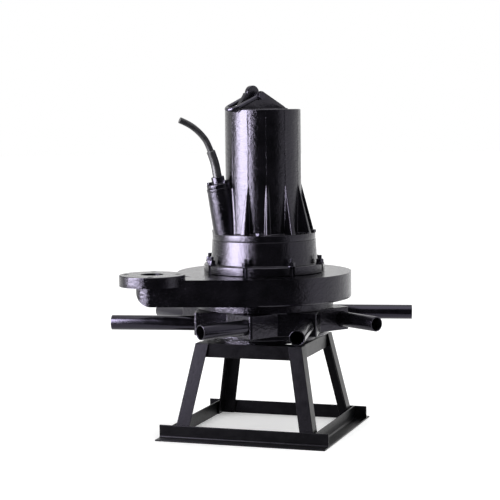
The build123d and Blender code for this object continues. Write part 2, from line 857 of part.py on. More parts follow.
with BuildPart() as motor_shell:
    with BuildSketch(Plane.XZ) as shell_profile:
        with BuildLine():
            Polyline(
                (0, drum_top),
                (ring_r, drum_top),
                (ring_r, ring_top),
                (shell_foot_r, ring_top),
                (shell_top_r, shell_top),
                (0, shell_top),
                close=True,
            )
        make_face()
        fillet(shell_profile.vertices().filter_by(lambda v: v.X == ring_r), seam_fillet)
        shell_rim = shell_profile.vertices().sort_by_distance((shell_top_r, shell_top, 0))[0]
        fillet(shell_rim, shell_edge_fillet)
    revolve(axis=Axis.Z)
    for turn in rib_turns:
        add(rib.part, rotation=(0, 0, turn))
    with BuildSketch(entry_plane(-entry_root)):
        Circle(entry_base_r)
    with BuildSketch(entry_plane(entry_length)):
        Circle(entry_r)
    loft(ruled=True)
    with BuildSketch(entry_plane(entry_length - entry_lip_height)):
        Circle(entry_lip_r)
    extrude(amount=entry_lip_height)
    with BuildSketch(Plane.XZ):
        with BuildLine():
            Polyline(
                (0, drum_top),
                (shell_bore_r, drum_top),
                (shell_bore_r, upper_bearing_top),
                (upper_bearing_r + boss_wall, upper_bearing_top),
                (upper_bearing_r + boss_wall, upper_bearing_bottom - upper_bearing_lip),
                (upper_bearing_r, upper_bearing_bottom - upper_bearing_lip),
                (upper_bearing_r, upper_bearing_top),
                (0, upper_bearing_top),
                close=True,
            )
        make_face()
    revolve(axis=Axis.Z, mode=Mode.SUBTRACT)
    with BuildSketch(entry_plane(entry_length)):
        Circle(entry_bore_r)
    extrude(amount=-entry_bore_depth, mode=Mode.SUBTRACT)
    with BuildSketch(entry_plane(entry_length)):
        with PolarLocations(gland_bolt_circle_r, gland_bolt_count):
            Circle(gland_bolt_r + thread_clearance)
    extrude(amount=-gland_bolt_depth, mode=Mode.SUBTRACT)
    with BuildSketch(Plane.XY.offset(drum_top)):
        with PolarLocations(ledge_screw_circle_r, ledge_screw_count, start_angle=ledge_screw_angle):
            Circle(ledge_screw_r + bolt_hole_clearance)
    extrude(amount=ring_height, mode=Mode.SUBTRACT)
keep("motor_shell", motor_shell.part)

ledge_screw_frames = ring_frames(
    ledge_screw_count, ledge_screw_circle_r, ring_top, ledge_screw_angle
)
ledge_screw_length = ring_height + ledge_screw_depth - bolt_end_gap
ledge_screw = hex_bolt(ledge_screw_r, ledge_screw_length, ledge_screw_flats, ledge_screw_head)
keep("ledge_screws", placed_copies(ledge_screw, ledge_screw_frames))

# Cable gland

with BuildPart() as gland_plate:
    with BuildSketch(entry_plane(entry_length)):
        Circle(gland_r)
    extrude(amount=gland_thickness)
    with BuildSketch(entry_plane(entry_length + gland_thickness)):
        Circle(gland_boss_r)
    extrude(amount=gland_boss_height)
    with BuildSketch(entry_plane(entry_length)):
        Circle(gland_bore_r)
        with PolarLocations(gland_bolt_circle_r, gland_bolt_count):
            Circle(gland_bolt_r + bolt_hole_clearance)
    extrude(amount=gland_thickness + gland_boss_height, mode=Mode.SUBTRACT)
    with BuildSketch(Plane.XY.offset(ring_top)):
        Circle(shell_foot_r + gland_shell_clearance)
    extrude(amount=shell_top - ring_top, mode=Mode.SUBTRACT)
keep("gland_plate", gland_plate.part)

gland_bolt_frames = [
    Plane(location) for location in
    PolarLocations(gland_bolt_circle_r, gland_bolt_count).locations
]
gland_face = entry_plane(entry_length + gland_thickness)
gland_bolt_length = gland_thickness + gland_bolt_depth - bolt_end_gap
gland_bolt = hex_bolt(gland_bolt_r, gland_bolt_length, gland_bolt_flats, gland_bolt_head)
gland_bolts = placed_copies(gland_bolt, gland_bolt_frames)
keep("gland_bolts", gland_bolts.moved(gland_face.location))

with BuildPart() as gland_seal:
    with BuildSketch(entry_plane(entry_length)):
        Circle(entry_bore_r)
        Circle(gland_bore_r, mode=Mode.SUBTRACT)
    extrude(amount=-gland_seal_height)
keep("gland_seal", gland_seal.part)


def cable_point(radius, height):
    return around(entry_angle, radius, height)


def corner_radii(points):
    # An arc at each corner that takes the same share of its shorter run
    radii = []
    for before, corner, after in zip(points, points[1:], points[2:]):
        run_in = corner - before
        run_out = after - corner
        half_turn = radians(run_in.get_angle(run_out)) / 2
        radii.append(corner_share * min(run_in.length, run_out.length) / tan(half_turn))
    return radii


def tube(points, radius):
    # A round tube along straight runs joined by tangent arcs
    radii = corner_radii(points)
    with BuildPart() as body:
        with BuildLine() as path:
            FilletPolyline(*points, radius=radii)
        with BuildSketch(Plane(points[0], z_dir=points[1] - points[0])):
            Circle(radius)
        sweep(path=path.line)
    length = sum(edge.length for edge in path.edges())
    share = body.part.volume / (pi * radius**2 * length)
    print("tube length", round(length, 1), "radii", [round(r, 1) for r in radii])
    print("tube volume over section times length", round(share, 5))
    return body.part


sleeve_foot = entry_foot + entry_axis * (entry_length - gland_seal_height)
sleeve_corner = entry_foot + entry_axis * (entry_length + sleeve_straight)
sleeve_tip = cable_point(*sleeve_end)
keep("cable_sleeve", tube([sleeve_foot, sleeve_corner, sleeve_tip], sleeve_r))
cable_start = (sleeve_tip - sleeve_corner).normalized() * cable_first_run
cable_points = [sleeve_tip, sleeve_tip + cable_start]
cable_points += [cable_point(*point) for point in cable_route]
keep("power_cable", tube(cable_points, cable_r))

# Lifting lug and shackle

lug_along = direction(lug_angle)
lug_across = direction(lug_angle - 90)
with BuildPart() as lifting_lug:
    lug_plane = Plane((0, 0, shell_top), x_dir=lug_along, z_dir=lug_across)
    with BuildSketch(lug_plane):
        with BuildLine():
            Line((lug_back, 0), (lug_front, 0))
            CenterArc((lug_apex, lug_height - lug_round), lug_round, 0, 360)
        make_hull()
        with Locations((lug_hole_at, lug_hole_rise)):
            Circle(shackle_pin_r + shackle_pin_clearance, mode=Mode.SUBTRACT)
    extrude(amount=lug_thickness / 2, both=True)
keep("lifting_lug", lifting_lug.part)

# The bow lies against the rim of the motor at the angle where its legs touch it
pin_centre = lug_along * lug_hole_at + Vector(0, 0, shell_top + lug_hole_rise)
leg_offset = shackle_half_gap + shackle_bar_r
rim_run = sqrt(shell_top_r**2 - leg_offset**2) + lug_hole_at
shackle_slope = degrees(
    atan2(lug_hole_rise, rim_run)
    - asin((shackle_bar_r + shackle_rest_gap) / hypot(rim_run, lug_hole_rise))
)
bow_out = lug_along * -cos(radians(shackle_slope)) + Vector(0, 0, -sin(radians(shackle_slope)))
bow_up = lug_along * -sin(radians(shackle_slope)) + Vector(0, 0, cos(radians(shackle_slope)))
bow_plane = Plane(pin_centre, x_dir=bow_out, z_dir=bow_up)
bow_straight = shackle_length - leg_offset

with BuildPart() as shackle_bow:
    with BuildLine(bow_plane) as bow_path:
        first_leg = Line((0, -leg_offset), (bow_straight, -leg_offset))
        bend = JernArc(first_leg @ 1, first_leg % 1, leg_offset, 180)
        Line(bend @ 1, (0, leg_offset))
    with BuildSketch(Plane(bow_path.line @ 0, z_dir=bow_path.line % 0)):
        Circle(shackle_bar_r)
    sweep(path=bow_path.line)
    for side in (-1, 1):
        eye_plane = Plane(
            bow_plane.from_local_coords((0, side * leg_offset, 0)), x_dir=bow_out, z_dir=bow_plane.y_dir
        )
        with BuildSketch(eye_plane):
            Circle(shackle_eye_r)
        extrude(amount=shackle_bar_r, both=True)
        with BuildSketch(eye_plane):
            Circle(shackle_pin_r + thread_clearance)
        extrude(amount=2 * shackle_bar_r, both=True, mode=Mode.SUBTRACT)
keep("shackle_bow", shackle_bow.part)

eye_outside = leg_offset + shackle_bar_r
pin_plane = Plane(
    bow_plane.from_local_coords((0, eye_outside, 0)), x_dir=bow_out, z_dir=bow_plane.y_dir
)
pin_length = 2 * eye_outside + shackle_pin_nut + shackle_pin_tip
pin_bolt = hex_bolt(shackle_pin_r, pin_length, shackle_pin_head_flats, shackle_pin_head)
keep("shackle_pin", pin_bolt.moved(pin_plane.location))

nut_plane = Plane(
    bow_plane.from_local_coords((0, -eye_outside, 0)), x_dir=bow_out, z_dir=-bow_plane.y_dir
)
with BuildPart() as shackle_nut:
    with BuildSketch(nut_plane):
        RegularPolygon(shackle_pin_head_flats / 2, 6, major_radius=False)
        Circle(shackle_pin_r + thread_clearance, mode=Mode.SUBTRACT)
    extrude(amount=shackle_pin_nut)
keep("shackle_nut", shackle_nut.part)

# Stator

keep("stator_core", ring_of(stator_inner_r + air_gap, shell_bore_r, core_bottom, core_top))
with BuildPart() as stator_windings:
    add(ring_of(winding_inner_r, winding_outer_r, core_top, core_top + winding_height))
    add(ring_of(winding_inner_r, winding_outer_r, core_bottom - winding_height, core_bottom))
    winding_ends = stator_windings.edges().filter_by(GeomType.CIRCLE).group_by(Axis.Z)
    fillet(winding_ends[0] + winding_ends[-1], (winding_outer_r - winding_inner_r) / 3)
keep("stator_windings", stator_windings.part)

# Shaft

impeller_top = chamber_ceiling - impeller_lower_gap
impeller_bottom = cover_top + impeller_lower_gap
vane_disc_bottom = impeller_bottom + impeller_vane_drop
vane_disc_top = vane_disc_bottom + impeller_disc
seal_shoulder = impeller_top
bearing_shoulder = bearing_floor - shoulder_run
core_shoulder = bearing_floor + lower_bearing_width + bearing_cap_thickness + shoulder_gap
upper_shoulder = upper_bearing_bottom - shoulder_gap
shaft_end = upper_bearing_top - shoulder_gap
key_foot = impeller_bottom + key_rise

with BuildPart() as shaft:
    add(
        turned(
            [
                (0, impeller_bottom),
                (impeller_seat_r, impeller_bottom),
                (impeller_seat_r, seal_shoulder),
                (seal_seat_r, seal_shoulder),
                (seal_seat_r, bearing_shoulder),
                (lower_journal_r, bearing_shoulder),
                (lower_journal_r, core_shoulder),
                (core_seat_r, core_shoulder),
                (core_seat_r, upper_shoulder),
                (upper_journal_r, upper_shoulder),
                (upper_journal_r, shaft_end),
                (0, shaft_end),
            ]
        )
    )
    with BuildSketch(Plane.XY.offset(key_foot)):
        with Locations((impeller_seat_r, 0)):
            Rectangle(key_height, key_width)
    extrude(amount=key_length, mode=Mode.SUBTRACT)
    with BuildSketch(Plane.XY.offset(impeller_bottom)):
        Circle(impeller_bolt_r + thread_clearance)
    extrude(amount=key_length, mode=Mode.SUBTRACT)
keep("shaft", shaft.part)

with BuildPart() as impeller_key:
    with BuildSketch(Plane.XY.offset(key_foot)):
        with Locations((impeller_seat_r, 0)):
            Rectangle(key_height, key_width)
    extrude(amount=key_length)
keep("impeller_key", impeller_key.part)

# Impeller


def vane_outline(root_r, tip_r, sweep):
    # One curved vane between two arcs that start at the root and lag by the sweep at the tip
    half = vane_thickness / 2
    middle_r = (root_r + tip_r) / 2
    with BuildSketch() as outline:
        with BuildLine() as edges:
            sides_of_vane = []
            for side in (-1, 1):
                root = around(0, root_r, 0) + Vector(0, side * half, 0)
                across = direction(sweep * vane_belly + 90) * (side * half)
                middle = around(sweep * vane_belly, middle_r, 0) + across
                tip = around(sweep + side * degrees(half / tip_r), tip_r, 0)
                sides_of_vane.append(ThreePointArc(root, middle, tip))
            Line(sides_of_vane[0] @ 0, sides_of_vane[1] @ 0)
            Line(sides_of_vane[0] @ 1, sides_of_vane[1] @ 1)
        make_face()
    return outline.sketch


with BuildPart() as impeller:
    with BuildSketch(Plane.XY.offset(vane_disc_bottom)):
        Circle(impeller_r)
    extrude(amount=impeller_disc)
    with BuildSketch(Plane.XY.offset(impeller_bottom)):
        Circle(impeller_hub_r)
    extrude(amount=impeller_top - impeller_bottom)
    with BuildSketch(Plane.XY.offset(impeller_bottom)):
        with PolarLocations(0, vane_count):
            add(vane_outline(vane_root_r, impeller_r, vane_sweep))
    extrude(amount=impeller_vane_drop)
    with BuildSketch(Plane.XY.offset(vane_disc_top)):
        with PolarLocations(0, vane_count):
            add(vane_outline(air_vane_root_r, impeller_r, vane_sweep / 2))
    extrude(amount=impeller_vane_rise)
    with BuildSketch(Plane.XY.offset(impeller_bottom)):
        Circle(impeller_seat_r)
        with Locations((impeller_seat_r, 0)):
            Rectangle(key_height, key_width)
    extrude(amount=impeller_top - impeller_bottom, mode=Mode.SUBTRACT)
keep("impeller", impeller.part)

washer_bottom = impeller_bottom - impeller_washer_thickness
tip_washer = ring_of(
    impeller_bolt_r + bolt_hole_clearance, impeller_washer_r, washer_bottom, impeller_bottom
)
keep("impeller_washer", tip_washer)
impeller_bolt_plane = Plane((0, 0, washer_bottom), z_dir=(0, 0, -1))
impeller_bolt = hex_bolt(
    impeller_bolt_r,
    impeller_washer_thickness + key_length - bolt_end_gap,
    impeller_bolt_flats,
    impeller_bolt_head,
)
keep("impeller_bolt", impeller_bolt.moved(impeller_bolt_plane.location))

with BuildPart() as rotor_core:
    add(
        turned(
            [
                (core_seat_r, core_bottom - rotor_cap_height),
                (rotor_cap_r, core_bottom - rotor_cap_height),
                (rotor_cap_r, core_bottom),
                (stator_inner_r, core_bottom),
                (stator_inner_r, core_top),
                (rotor_cap_r, core_top),
                (rotor_cap_r, core_top + rotor_cap_height),
                (core_seat_r, core_top + rotor_cap_height),
            ]
        )
    )
keep("rotor_core", rotor_core.part)

# Mechanical seals: a fixed seat in the housing and a spring-loaded ring on the shaft for each

seal_bore_r = seal_seat_r + seal_shaft_gap
lower_seat_top = drum_floor_top
keep(
    "lower_seal_seat",
    ring_of(seal_bore_r, seal_seat_outer_r, lower_seat_top - seal_seat_height, lower_seat_top),
)
keep(
    "lower_seal_ring",
    ring_of(
        seal_seat_r,
        seal_ring_r,
        lower_seat_top + seal_face_gap,
        lower_seat_top + seal_face_gap + seal_ring_height,
    ),
)
upper_seat_bottom = bracket_hub_bottom
keep(
    "upper_seal_seat",
    ring_of(seal_bore_r, seal_seat_outer_r, upper_seat_bottom, upper_seat_bottom + seal_seat_height),
)
keep(
    "upper_seal_ring",
    ring_of(
        seal_seat_r,
        seal_ring_r,
        upper_seat_bottom - seal_face_gap - seal_ring_height,
        upper_seat_bottom - seal_face_gap,
    ),
)

print(len(parts), "nodes")
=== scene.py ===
import math

import bmesh
import bpy
import numpy as np
from mathutils import Matrix, Vector


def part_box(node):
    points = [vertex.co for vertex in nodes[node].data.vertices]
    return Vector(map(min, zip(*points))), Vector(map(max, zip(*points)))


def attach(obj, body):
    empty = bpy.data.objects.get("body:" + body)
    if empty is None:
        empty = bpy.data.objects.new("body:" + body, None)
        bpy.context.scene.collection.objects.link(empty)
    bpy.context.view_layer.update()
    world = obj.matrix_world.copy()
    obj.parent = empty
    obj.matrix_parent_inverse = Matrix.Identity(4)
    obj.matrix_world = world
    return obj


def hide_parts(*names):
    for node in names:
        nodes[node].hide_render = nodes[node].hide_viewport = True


# Submersible aerator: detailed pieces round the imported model. Sizes are in mm until a mesh is made.
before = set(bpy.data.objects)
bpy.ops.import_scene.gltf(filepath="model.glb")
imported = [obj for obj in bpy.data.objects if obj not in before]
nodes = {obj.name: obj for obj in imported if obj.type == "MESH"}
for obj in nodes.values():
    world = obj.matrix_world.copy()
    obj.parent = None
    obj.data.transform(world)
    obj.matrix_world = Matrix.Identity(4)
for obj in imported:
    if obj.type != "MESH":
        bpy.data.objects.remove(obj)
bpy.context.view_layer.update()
print("frame loaded:", len(nodes), "nodes")


def boxOf(node):
    low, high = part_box(node)
    return np.array(low) * 1000, np.array(high) * 1000


levels = {
    "standTop": boxOf("top_rail_front")[1][2],
    "coverTop": boxOf("suction_cover")[1][2],
    "toothBottom": boxOf("mixing_chamber")[0][2],
    "collarTop": boxOf("mixing_chamber")[1][2],
    "airChamberBottom": boxOf("air_chamber")[0][2],
    "drumBottom": boxOf("oil_chamber")[0][2],
    "drumTop": boxOf("oil_chamber")[1][2],
    "shellTop": boxOf("motor_shell")[1][2],
}
levels["flangeTop"] = boxOf("flange_washers")[0][2]
levels["ringTop"] = boxOf("ledge_screws")[1][2] - 8.0


# Materials

def linear(hexColour):
    # sRGB hex digits to the linear colour a shader takes
    parts = [int(hexColour[i:i + 2], 16) / 255 for i in (1, 3, 5)]
    return [c / 12.92 if c <= 0.04045 else ((c + 0.055) / 1.055) ** 2.4 for c in parts] + [1.0]


def addNode(tree, kind, settings=None, links=None):
    # settings are properties or input values by name, links are the outputs that feed inputs by name
    node = tree.nodes.new(kind)
    for key, value in (settings or {}).items():
        if hasattr(node, key):
            setattr(node, key, value)
        else:
            node.inputs[key].default_value = value
    for key, source in (links or {}).items():
        tree.links.new(source, node.inputs[key])
    return node


def perMm(size):
    # scale of a pattern on Object coordinates, which are metres, for a feature of this size
    return 1000.0 / size


def newFinish(name):
    finish = bpy.data.materials.new(name)
    finish.use_nodes = True
    tree = finish.node_tree
    tree.nodes.clear()
    place = addNode(tree, "ShaderNodeTexCoord").outputs["Object"]
    return finish, tree, place


def paintedFinish(name, look):
    # Paint over metal: two close colours in soft patches, orange peel, and pits where the metal is rough
    finish, tree, place = newFinish(name)
    patches = addNode(tree, "ShaderNodeTexNoise", {"Scale": perMm(look["patchMm"]), "Detail": 3.0}, {"Vector": place})
    peel = addNode(tree, "ShaderNodeTexNoise", {"Scale": perMm(look["peelMm"]), "Detail": 2.0}, {"Vector": place})
    grain = addNode(tree, "ShaderNodeTexNoise", {"Scale": perMm(look["grainMm"]), "Detail": 4.0, "Roughness": 0.65}, {"Vector": place})
    shade = addNode(tree, "ShaderNodeValToRGB", None, {"Fac": patches.outputs["Fac"]})
    shade.color_ramp.elements[0].position = 0.35
    shade.color_ramp.elements[0].color = linear(look["dark"])
    shade.color_ramp.elements[1].position = 0.7
    shade.color_ramp.elements[1].color = linear(look["light"])
    dull = addNode(tree, "ShaderNodeMapRange", {"To Min": look["roughness"][0], "To Max": look["roughness"][1]}, {"Value": patches.outputs["Fac"]})
    relief = addNode(tree, "ShaderNodeMath", {"operation": "MULTIPLY_ADD"}, {0: grain.outputs["Fac"], 2: peel.outputs["Fac"]})
    relief.inputs[1].default_value = look["grainShare"]
    bump = addNode(tree, "ShaderNodeBump", {"Strength": look["bump"], "Distance": look["bumpMm"] / 1000}, {"Height": relief.outputs[0]})
    shader = addNode(
        tree,
        "ShaderNodeBsdfPrincipled",
        {"IOR": look["ior"], "Specular Tint": linear(look["tint"])},
        {
            "Base Color": shade.outputs["Color"],
            "Roughness": dull.outputs["Result"],
            "Normal": bump.outputs["Normal"],
        },
    )
    addNode(tree, "ShaderNodeOutputMaterial", None, {"Surface": shader.outputs[0]})
    return finish


def metalFinish(name, look):
    # Bare metal: tint in soft patches, with fine tool marks running round or across
    finish, tree, place = newFinish(name)
    patches = addNode(tree, "ShaderNodeTexNoise", {"Scale": perMm(look["patchMm"]), "Detail": 3.0}, {"Vector": place})
    marks = addNode(tree, "ShaderNodeTexNoise", {"Scale": perMm(look["markMm"]), "Detail": 3.0}, {"Vector": place})
    shade = addNode(tree, "ShaderNodeValToRGB", None, {"Fac": patches.outputs["Fac"]})
    shade.color_ramp.elements[0].color = linear(look["dark"])
    shade.color_ramp.elements[1].color = linear(look["light"])
    dull = addNode(tree, "ShaderNodeMapRange", {"To Min": look["roughness"][0], "To Max": look["roughness"][1]}, {"Value": marks.outputs["Fac"]})
    bump = addNode(tree, "ShaderNodeBump", {"Strength": look["bump"], "Distance": 0.0003}, {"Height": marks.outputs["Fac"]})
    shader = addNode(
        tree,
        "ShaderNodeBsdfPrincipled",
        {"Metallic": 1.0},
        {"Base Color": shade.outputs["Color"], "Roughness": dull.outputs["Result"], "Normal": bump.outputs["Normal"]},
    )
    addNode(tree, "ShaderNodeOutputMaterial", None, {"Surface": shader.outputs[0]})
    return finish


# Gloss black enamel brushed over sand-cast grey iron: it pools smooth but the cast skin still shows
castEnamel = paintedFinish(
    "castEnamel",
    {
        "dark": "#08080a", "light": "#100f13", "patchMm": 45.0, "peelMm": 11.0, "grainMm": 4.2,
        "grainShare": 0.8, "roughness": (0.10, 0.2), "bump": 0.8, "bumpMm": 1.1, "ior": 1.46,
        "tint": "#e2dcf2",
    },
)
# Black paint on hot-rolled angle iron: thinner and duller, with mill scale showing as patches
angleIronPaint = paintedFinish(
    "angleIronPaint",
    {
        "dark": "#080809", "light": "#111112", "patchMm": 30.0, "peelMm": 6.0, "grainMm": 2.5,
        "grainShare": 0.6, "roughness": (0.25, 0.42), "bump": 0.5, "bumpMm": 0.6, "ior": 1.38,
        "tint": "#6e6b76",
    },
)
# Enamel on drawn steel pipe: nearly smooth
pipeEnamel = paintedFinish(
    "pipeEnamel",
    {
        "dark": "#08080a", "light": "#121115", "patchMm": 25.0, "peelMm": 5.0, "grainMm": 2.0,
        "grainShare": 0.4, "roughness": (0.14, 0.24), "bump": 0.3, "bumpMm": 0.4, "ior": 1.46,
        "tint": "#ddd6f5",
    },
)
# Enamel over forged bolts, nuts and the shackle
fastenerEnamel = paintedFinish(
    "fastenerEnamel",
    {
        "dark": "#0a0a0c", "light": "#1c1b1f", "patchMm": 9.0, "peelMm": 2.5, "grainMm": 1.2,
        "grainShare": 0.4, "roughness": (0.14, 0.3), "bump": 0.3, "bumpMm": 0.25, "ior": 1.5,
        "tint": "#ddd6f5",
    },
)
# Pressed fibre-rubber gasket sheet, matte with fine grain at its cut edge
gasketSheet = paintedFinish(
    "gasketSheet",
    {
        "dark": "#0d0d0d", "light": "#1b1a19", "patchMm": 12.0, "peelMm": 2.0, "grainMm": 0.8,
        "grainShare": 0.8, "roughness": (0.6, 0.8), "bump": 0.3, "bumpMm": 0.2, "ior": 1.45,
        "tint": "#ffffff",
    },
)
# Chloroprene cable jacket: a soft grey sheen and faint handling marks
cableJacket = paintedFinish(
    "cableJacket",
    {
        "dark": "#1b1a1e", "light": "#2b2a2f", "patchMm": 14.0, "peelMm": 3.0, "grainMm": 0.9,
        "grainShare": 0.5, "roughness": (0.3, 0.45), "bump": 0.15, "bumpMm": 0.15, "ior": 1.5,
        "tint": "#ffffff",
    },
)
# Unpainted grey cast iron inside the pump
bareCasting = metalFinish(
    "bareCasting", {"dark": "#4d4a47", "light": "#6b6864", "patchMm": 18.0, "markMm": 1.6, "roughness": (0.45, 0.65), "bump": 0.5}
)
# Turned steel of the shaft, bearings and seals
turnedSteel = metalFinish(
    "turnedSteel", {"dark": "#8f9194", "light": "#b4b6b8", "patchMm": 20.0, "markMm": 0.9, "roughness": (0.2, 0.32), "bump": 0.12}
)
# Stacked electrical steel of the motor cores, edge on
coreStack = metalFinish(
    "coreStack", {"dark": "#3d3f43", "light": "#5b5d62", "patchMm": 10.0, "markMm": 0.7, "roughness": (0.4, 0.55), "bump": 0.3}
)
# Varnished copper winding heads
varnishedCopper = metalFinish(
    "varnishedCopper", {"dark": "#8a4a2a", "light": "#b5693c", "patchMm": 6.0, "markMm": 1.1, "roughness": (0.3, 0.45), "bump": 0.6}
)

finishOfSlot = {
    "frame_paint": angleIronPaint,
    "pipe_paint": pipeEnamel,
    "casting_enamel": castEnamel,
    "fastener_paint": fastenerEnamel,
    "gasket_rubber": gasketSheet,
    "cable_rubber": cableJacket,
    "inner_casting": bareCasting,
    "machined_steel": turnedSteel,
    "core_laminations": coreStack,
    "copper_winding": varnishedCopper,
}
for name, node in nodes.items():
    slotName = node.data.materials[0].name.split(".")[0] if node.data.materials else "casting_enamel"
    for i in range(len(node.data.materials)):
        node.data.materials[i] = finishOfSlot.get(slotName, castEnamel)
print("finishes:", len(finishOfSlot))


# Surface tools

def gridCells(rows, columns, wrapColumns):
    # each cell of a grid of points as its four corner numbers
    r = np.arange(rows - 1)[:, None]
    c = np.arange(columns if wrapColumns else columns - 1)[None, :]
    after = (c + 1) % columns
    corners = [r * columns + c, r * columns + after, (r + 1) * columns + after, (r + 1) * columns + c]
    return np.stack(corners, axis=-1).reshape(-1, 4)


def makePiece(name, grids, slot, body="housing", replaced=(), crease=42.0):
    # grids of points in mm, with columns that close on themselves, become one mesh with outward faces
    points, cells, count = [], [], 0
    for grid in grids:
        rows, columns = grid.shape[:2]
        points.append(grid.reshape(-1, 3))
        cells.append(gridCells(rows, columns, True) + count)
        count += rows * columns
    mesh = bpy.data.meshes.new(name)
    mesh.from_pydata((np.concatenate(points) / 1000).tolist(), [], np.concatenate(cells).tolist())
    shell = bmesh.new()
    shell.from_mesh(mesh)
    bmesh.ops.remove_doubles(shell, verts=shell.verts, dist=2e-6)
    bmesh.ops.dissolve_degenerate(shell, edges=shell.edges, dist=1e-6)
    bmesh.ops.recalc_face_normals(shell, faces=shell.faces)
    shell.to_mesh(mesh)
    shell.free()
    mesh.shade_smooth()
    mesh.set_sharp_from_angle(angle=math.radians(crease))
    piece = bpy.data.objects.new(name, mesh)
    bpy.context.scene.collection.objects.link(piece)
    mesh.materials.append(finishOfSlot[slot])
    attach(piece, body)
    if replaced:
        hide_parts(*replaced)
    return piece


def roundedLine(corners, steps=5):
    # a line through (x, y, radius) corners: each inner corner is an arc that is tangent to both its runs
    line = [np.array(corners[0][:2], float)]
    for before, corner, after in zip(corners, corners[1:], corners[2:]):
        point, radius = np.array(corner[:2], float), corner[2]
        runIn = np.array(before[:2], float) - point
        runOut = np.array(after[:2], float) - point
        if radius <= 0:
            line.append(point)
            continue
        runIn /= np.linalg.norm(runIn)
        runOut /= np.linalg.norm(runOut)
        half = math.acos(np.clip(runIn @ runOut, -1, 1)) / 2
        middle = runIn + runOut
        centre = point + middle / np.linalg.norm(middle) * radius / math.sin(half)
        first = point + runIn * radius / math.tan(half) - centre
        last = point + runOut * radius / math.tan(half) - centre
        turn = math.atan2(first[0] * last[1] - first[1] * last[0], first @ last)
        for share in np.linspace(0, 1, steps + 1):
            c, s = math.cos(turn * share), math.sin(turn * share)
            line.append(centre + np.array([c * first[0] - s * first[1], s * first[0] + c * first[1]]))
    line.append(np.array(corners[-1][:2], float))
    return np.array(line)


def heading(angle, height=0.0):
    a = math.radians(angle)
    return np.array([math.cos(a), math.sin(a), height])


def at(angle, radius, height):
    return heading(angle) * radius + np.array([0, 0, height])


def setFrame(origin, xAxis, zAxis):
    # an origin with three square axes, the last one along zAxis
    z = np.array(zAxis, float) / np.linalg.norm(zAxis)
    y = np.cross(z, xAxis)
    y /= np.linalg.norm(y)
    return np.array(origin, float), np.array([np.cross(y, z), y, z])


upright = setFrame((0, 0, 0), (1, 0, 0), (0, 0, 1))


def placed(grid, where):
    origin, axes = where
    return origin + grid @ axes


def ringFrames(count, radius, height, start=0.0, up=1):
    frames = []
    for i in range(count):
        angle = start + i * 360 / count
        frames.append(setFrame(at(angle, radius, height), heading(angle), (0, 0, up)))
    return frames


def turnedGrid(profile, turns=96, where=upright):
    # the profile's radius and height carried round an axis: x = r cos t, y = r sin t, z = h
    t = np.linspace(0, 2 * np.pi, turns, endpoint=False)[None, :]
    r, h = profile[:, 0][:, None], profile[:, 1][:, None]
    return placed(np.stack([r * np.cos(t), r * np.sin(t), h + 0 * t], axis=-1), where)


def hexGrid(flats, height, where, bore=0.0, turns=48):
    # a hexagon's reach is half its flats over the cosine of the angle from the nearest flat, and the
    # top edge drops by 30 degrees as the reach passes the crown circle
    t = np.linspace(0, 2 * np.pi, turns, endpoint=False)
    reach = flats / 2 / np.cos(t % (np.pi / 3) - np.pi / 6)
    crown = flats * 0.475
    edge = height - (reach - crown) * math.tan(math.radians(30))
    soft = 0.35
    radii = np.stack([0 * t + bore, reach - soft, reach, reach, 0 * t + crown + soft * 2, 0 * t + crown - soft * 2, 0 * t + bore])
    highs = np.stack([0 * t, 0 * t, 0 * t + soft, edge - soft, 0 * t + height - soft, 0 * t + height, 0 * t + height])
    if bore:
        radii = np.vstack([radii, radii[:1]])
        highs = np.vstack([highs, highs[:1]])
    return placed(np.stack([radii * np.cos(t), radii * np.sin(t), highs], axis=-1), where)


def threadGrid(radius, low, high, pitch, where, turns=24):
    # a screw: the radius drops by the thread's depth as a triangle wave of height over pitch less turn
    t = np.linspace(0, 2 * np.pi, turns, endpoint=False)[None, :]
    h = np.linspace(low, high - radius * 0.15, int((high - low) / pitch * 6))[:, None]
    wave = np.abs(((h / pitch - t / (2 * np.pi)) % 1.0) * 2 - 1)
    r = radius - 0.55 * pitch * wave
    body = np.stack([r * np.cos(t), r * np.sin(t), h + 0 * t], axis=-1)
    tip = np.stack([radius * 0.8 * np.cos(t), radius * 0.8 * np.sin(t), high + 0 * t], axis=-1)
    foot = np.array([[[0, 0, low]] * turns])
    end = np.array([[[0, 0, high]] * turns])
    return placed(np.vstack([foot, body, tip, end]), where)


# Camera at the photograph's place, and the studio

view = {
    "lens": 111.83,
    "place": (1.3851, -4.2741, 0.9242),
    "ahead": (-0.3157, 0.9447, -0.0882),
    "up": (-0.0178, 0.0870, 0.9960),
}
cameraData = bpy.data.cameras.new("photoCamera")
cameraData.lens = view["lens"]
cameraData.sensor_width = 36.0
cameraData.clip_end = 200.0
camera = bpy.data.objects.new("photoCamera", cameraData)
bpy.context.scene.collection.objects.link(camera)
back = -Vector(view["ahead"]).normalized()
side = Vector(view["up"]).cross(back).normalized()
rise = back.cross(side)
turn = np.eye(4)
turn[:3, 0], turn[:3, 1], turn[:3, 2], turn[:3, 3] = side, rise, back, view["place"]
camera.matrix_world = Matrix(turn.tolist())
bpy.context.scene.camera = camera

studio = {
    "floorRadius": 30.0, "paperLift": 0.25,
    "softbox": {"angle": -134.0, "away": 2.0, "high": 1.3, "width": 1.5, "height": 2.0, "watts": 330.0, "colour": "#f8f5ff"},
    "top": {"high": 3.4, "width": 3.0, "height": 3.0, "watts": 40.0, "colour": "#ffffff"},
}


def areaLamp(name, place, target, look):
    lamp = bpy.data.lights.new(name, "AREA")
    lamp.shape = "RECTANGLE"
    lamp.size, lamp.size_y = look["width"], look["height"]
    lamp.energy = look["watts"]
    lamp.color = linear(look["colour"])[:3]
    holder = bpy.data.objects.new(name, lamp)
    bpy.context.scene.collection.objects.link(holder)
    holder.location = place
    holder.rotation_euler = (Vector(target) - Vector(place)).to_track_quat("-Z", "Y").to_euler()
    return holder


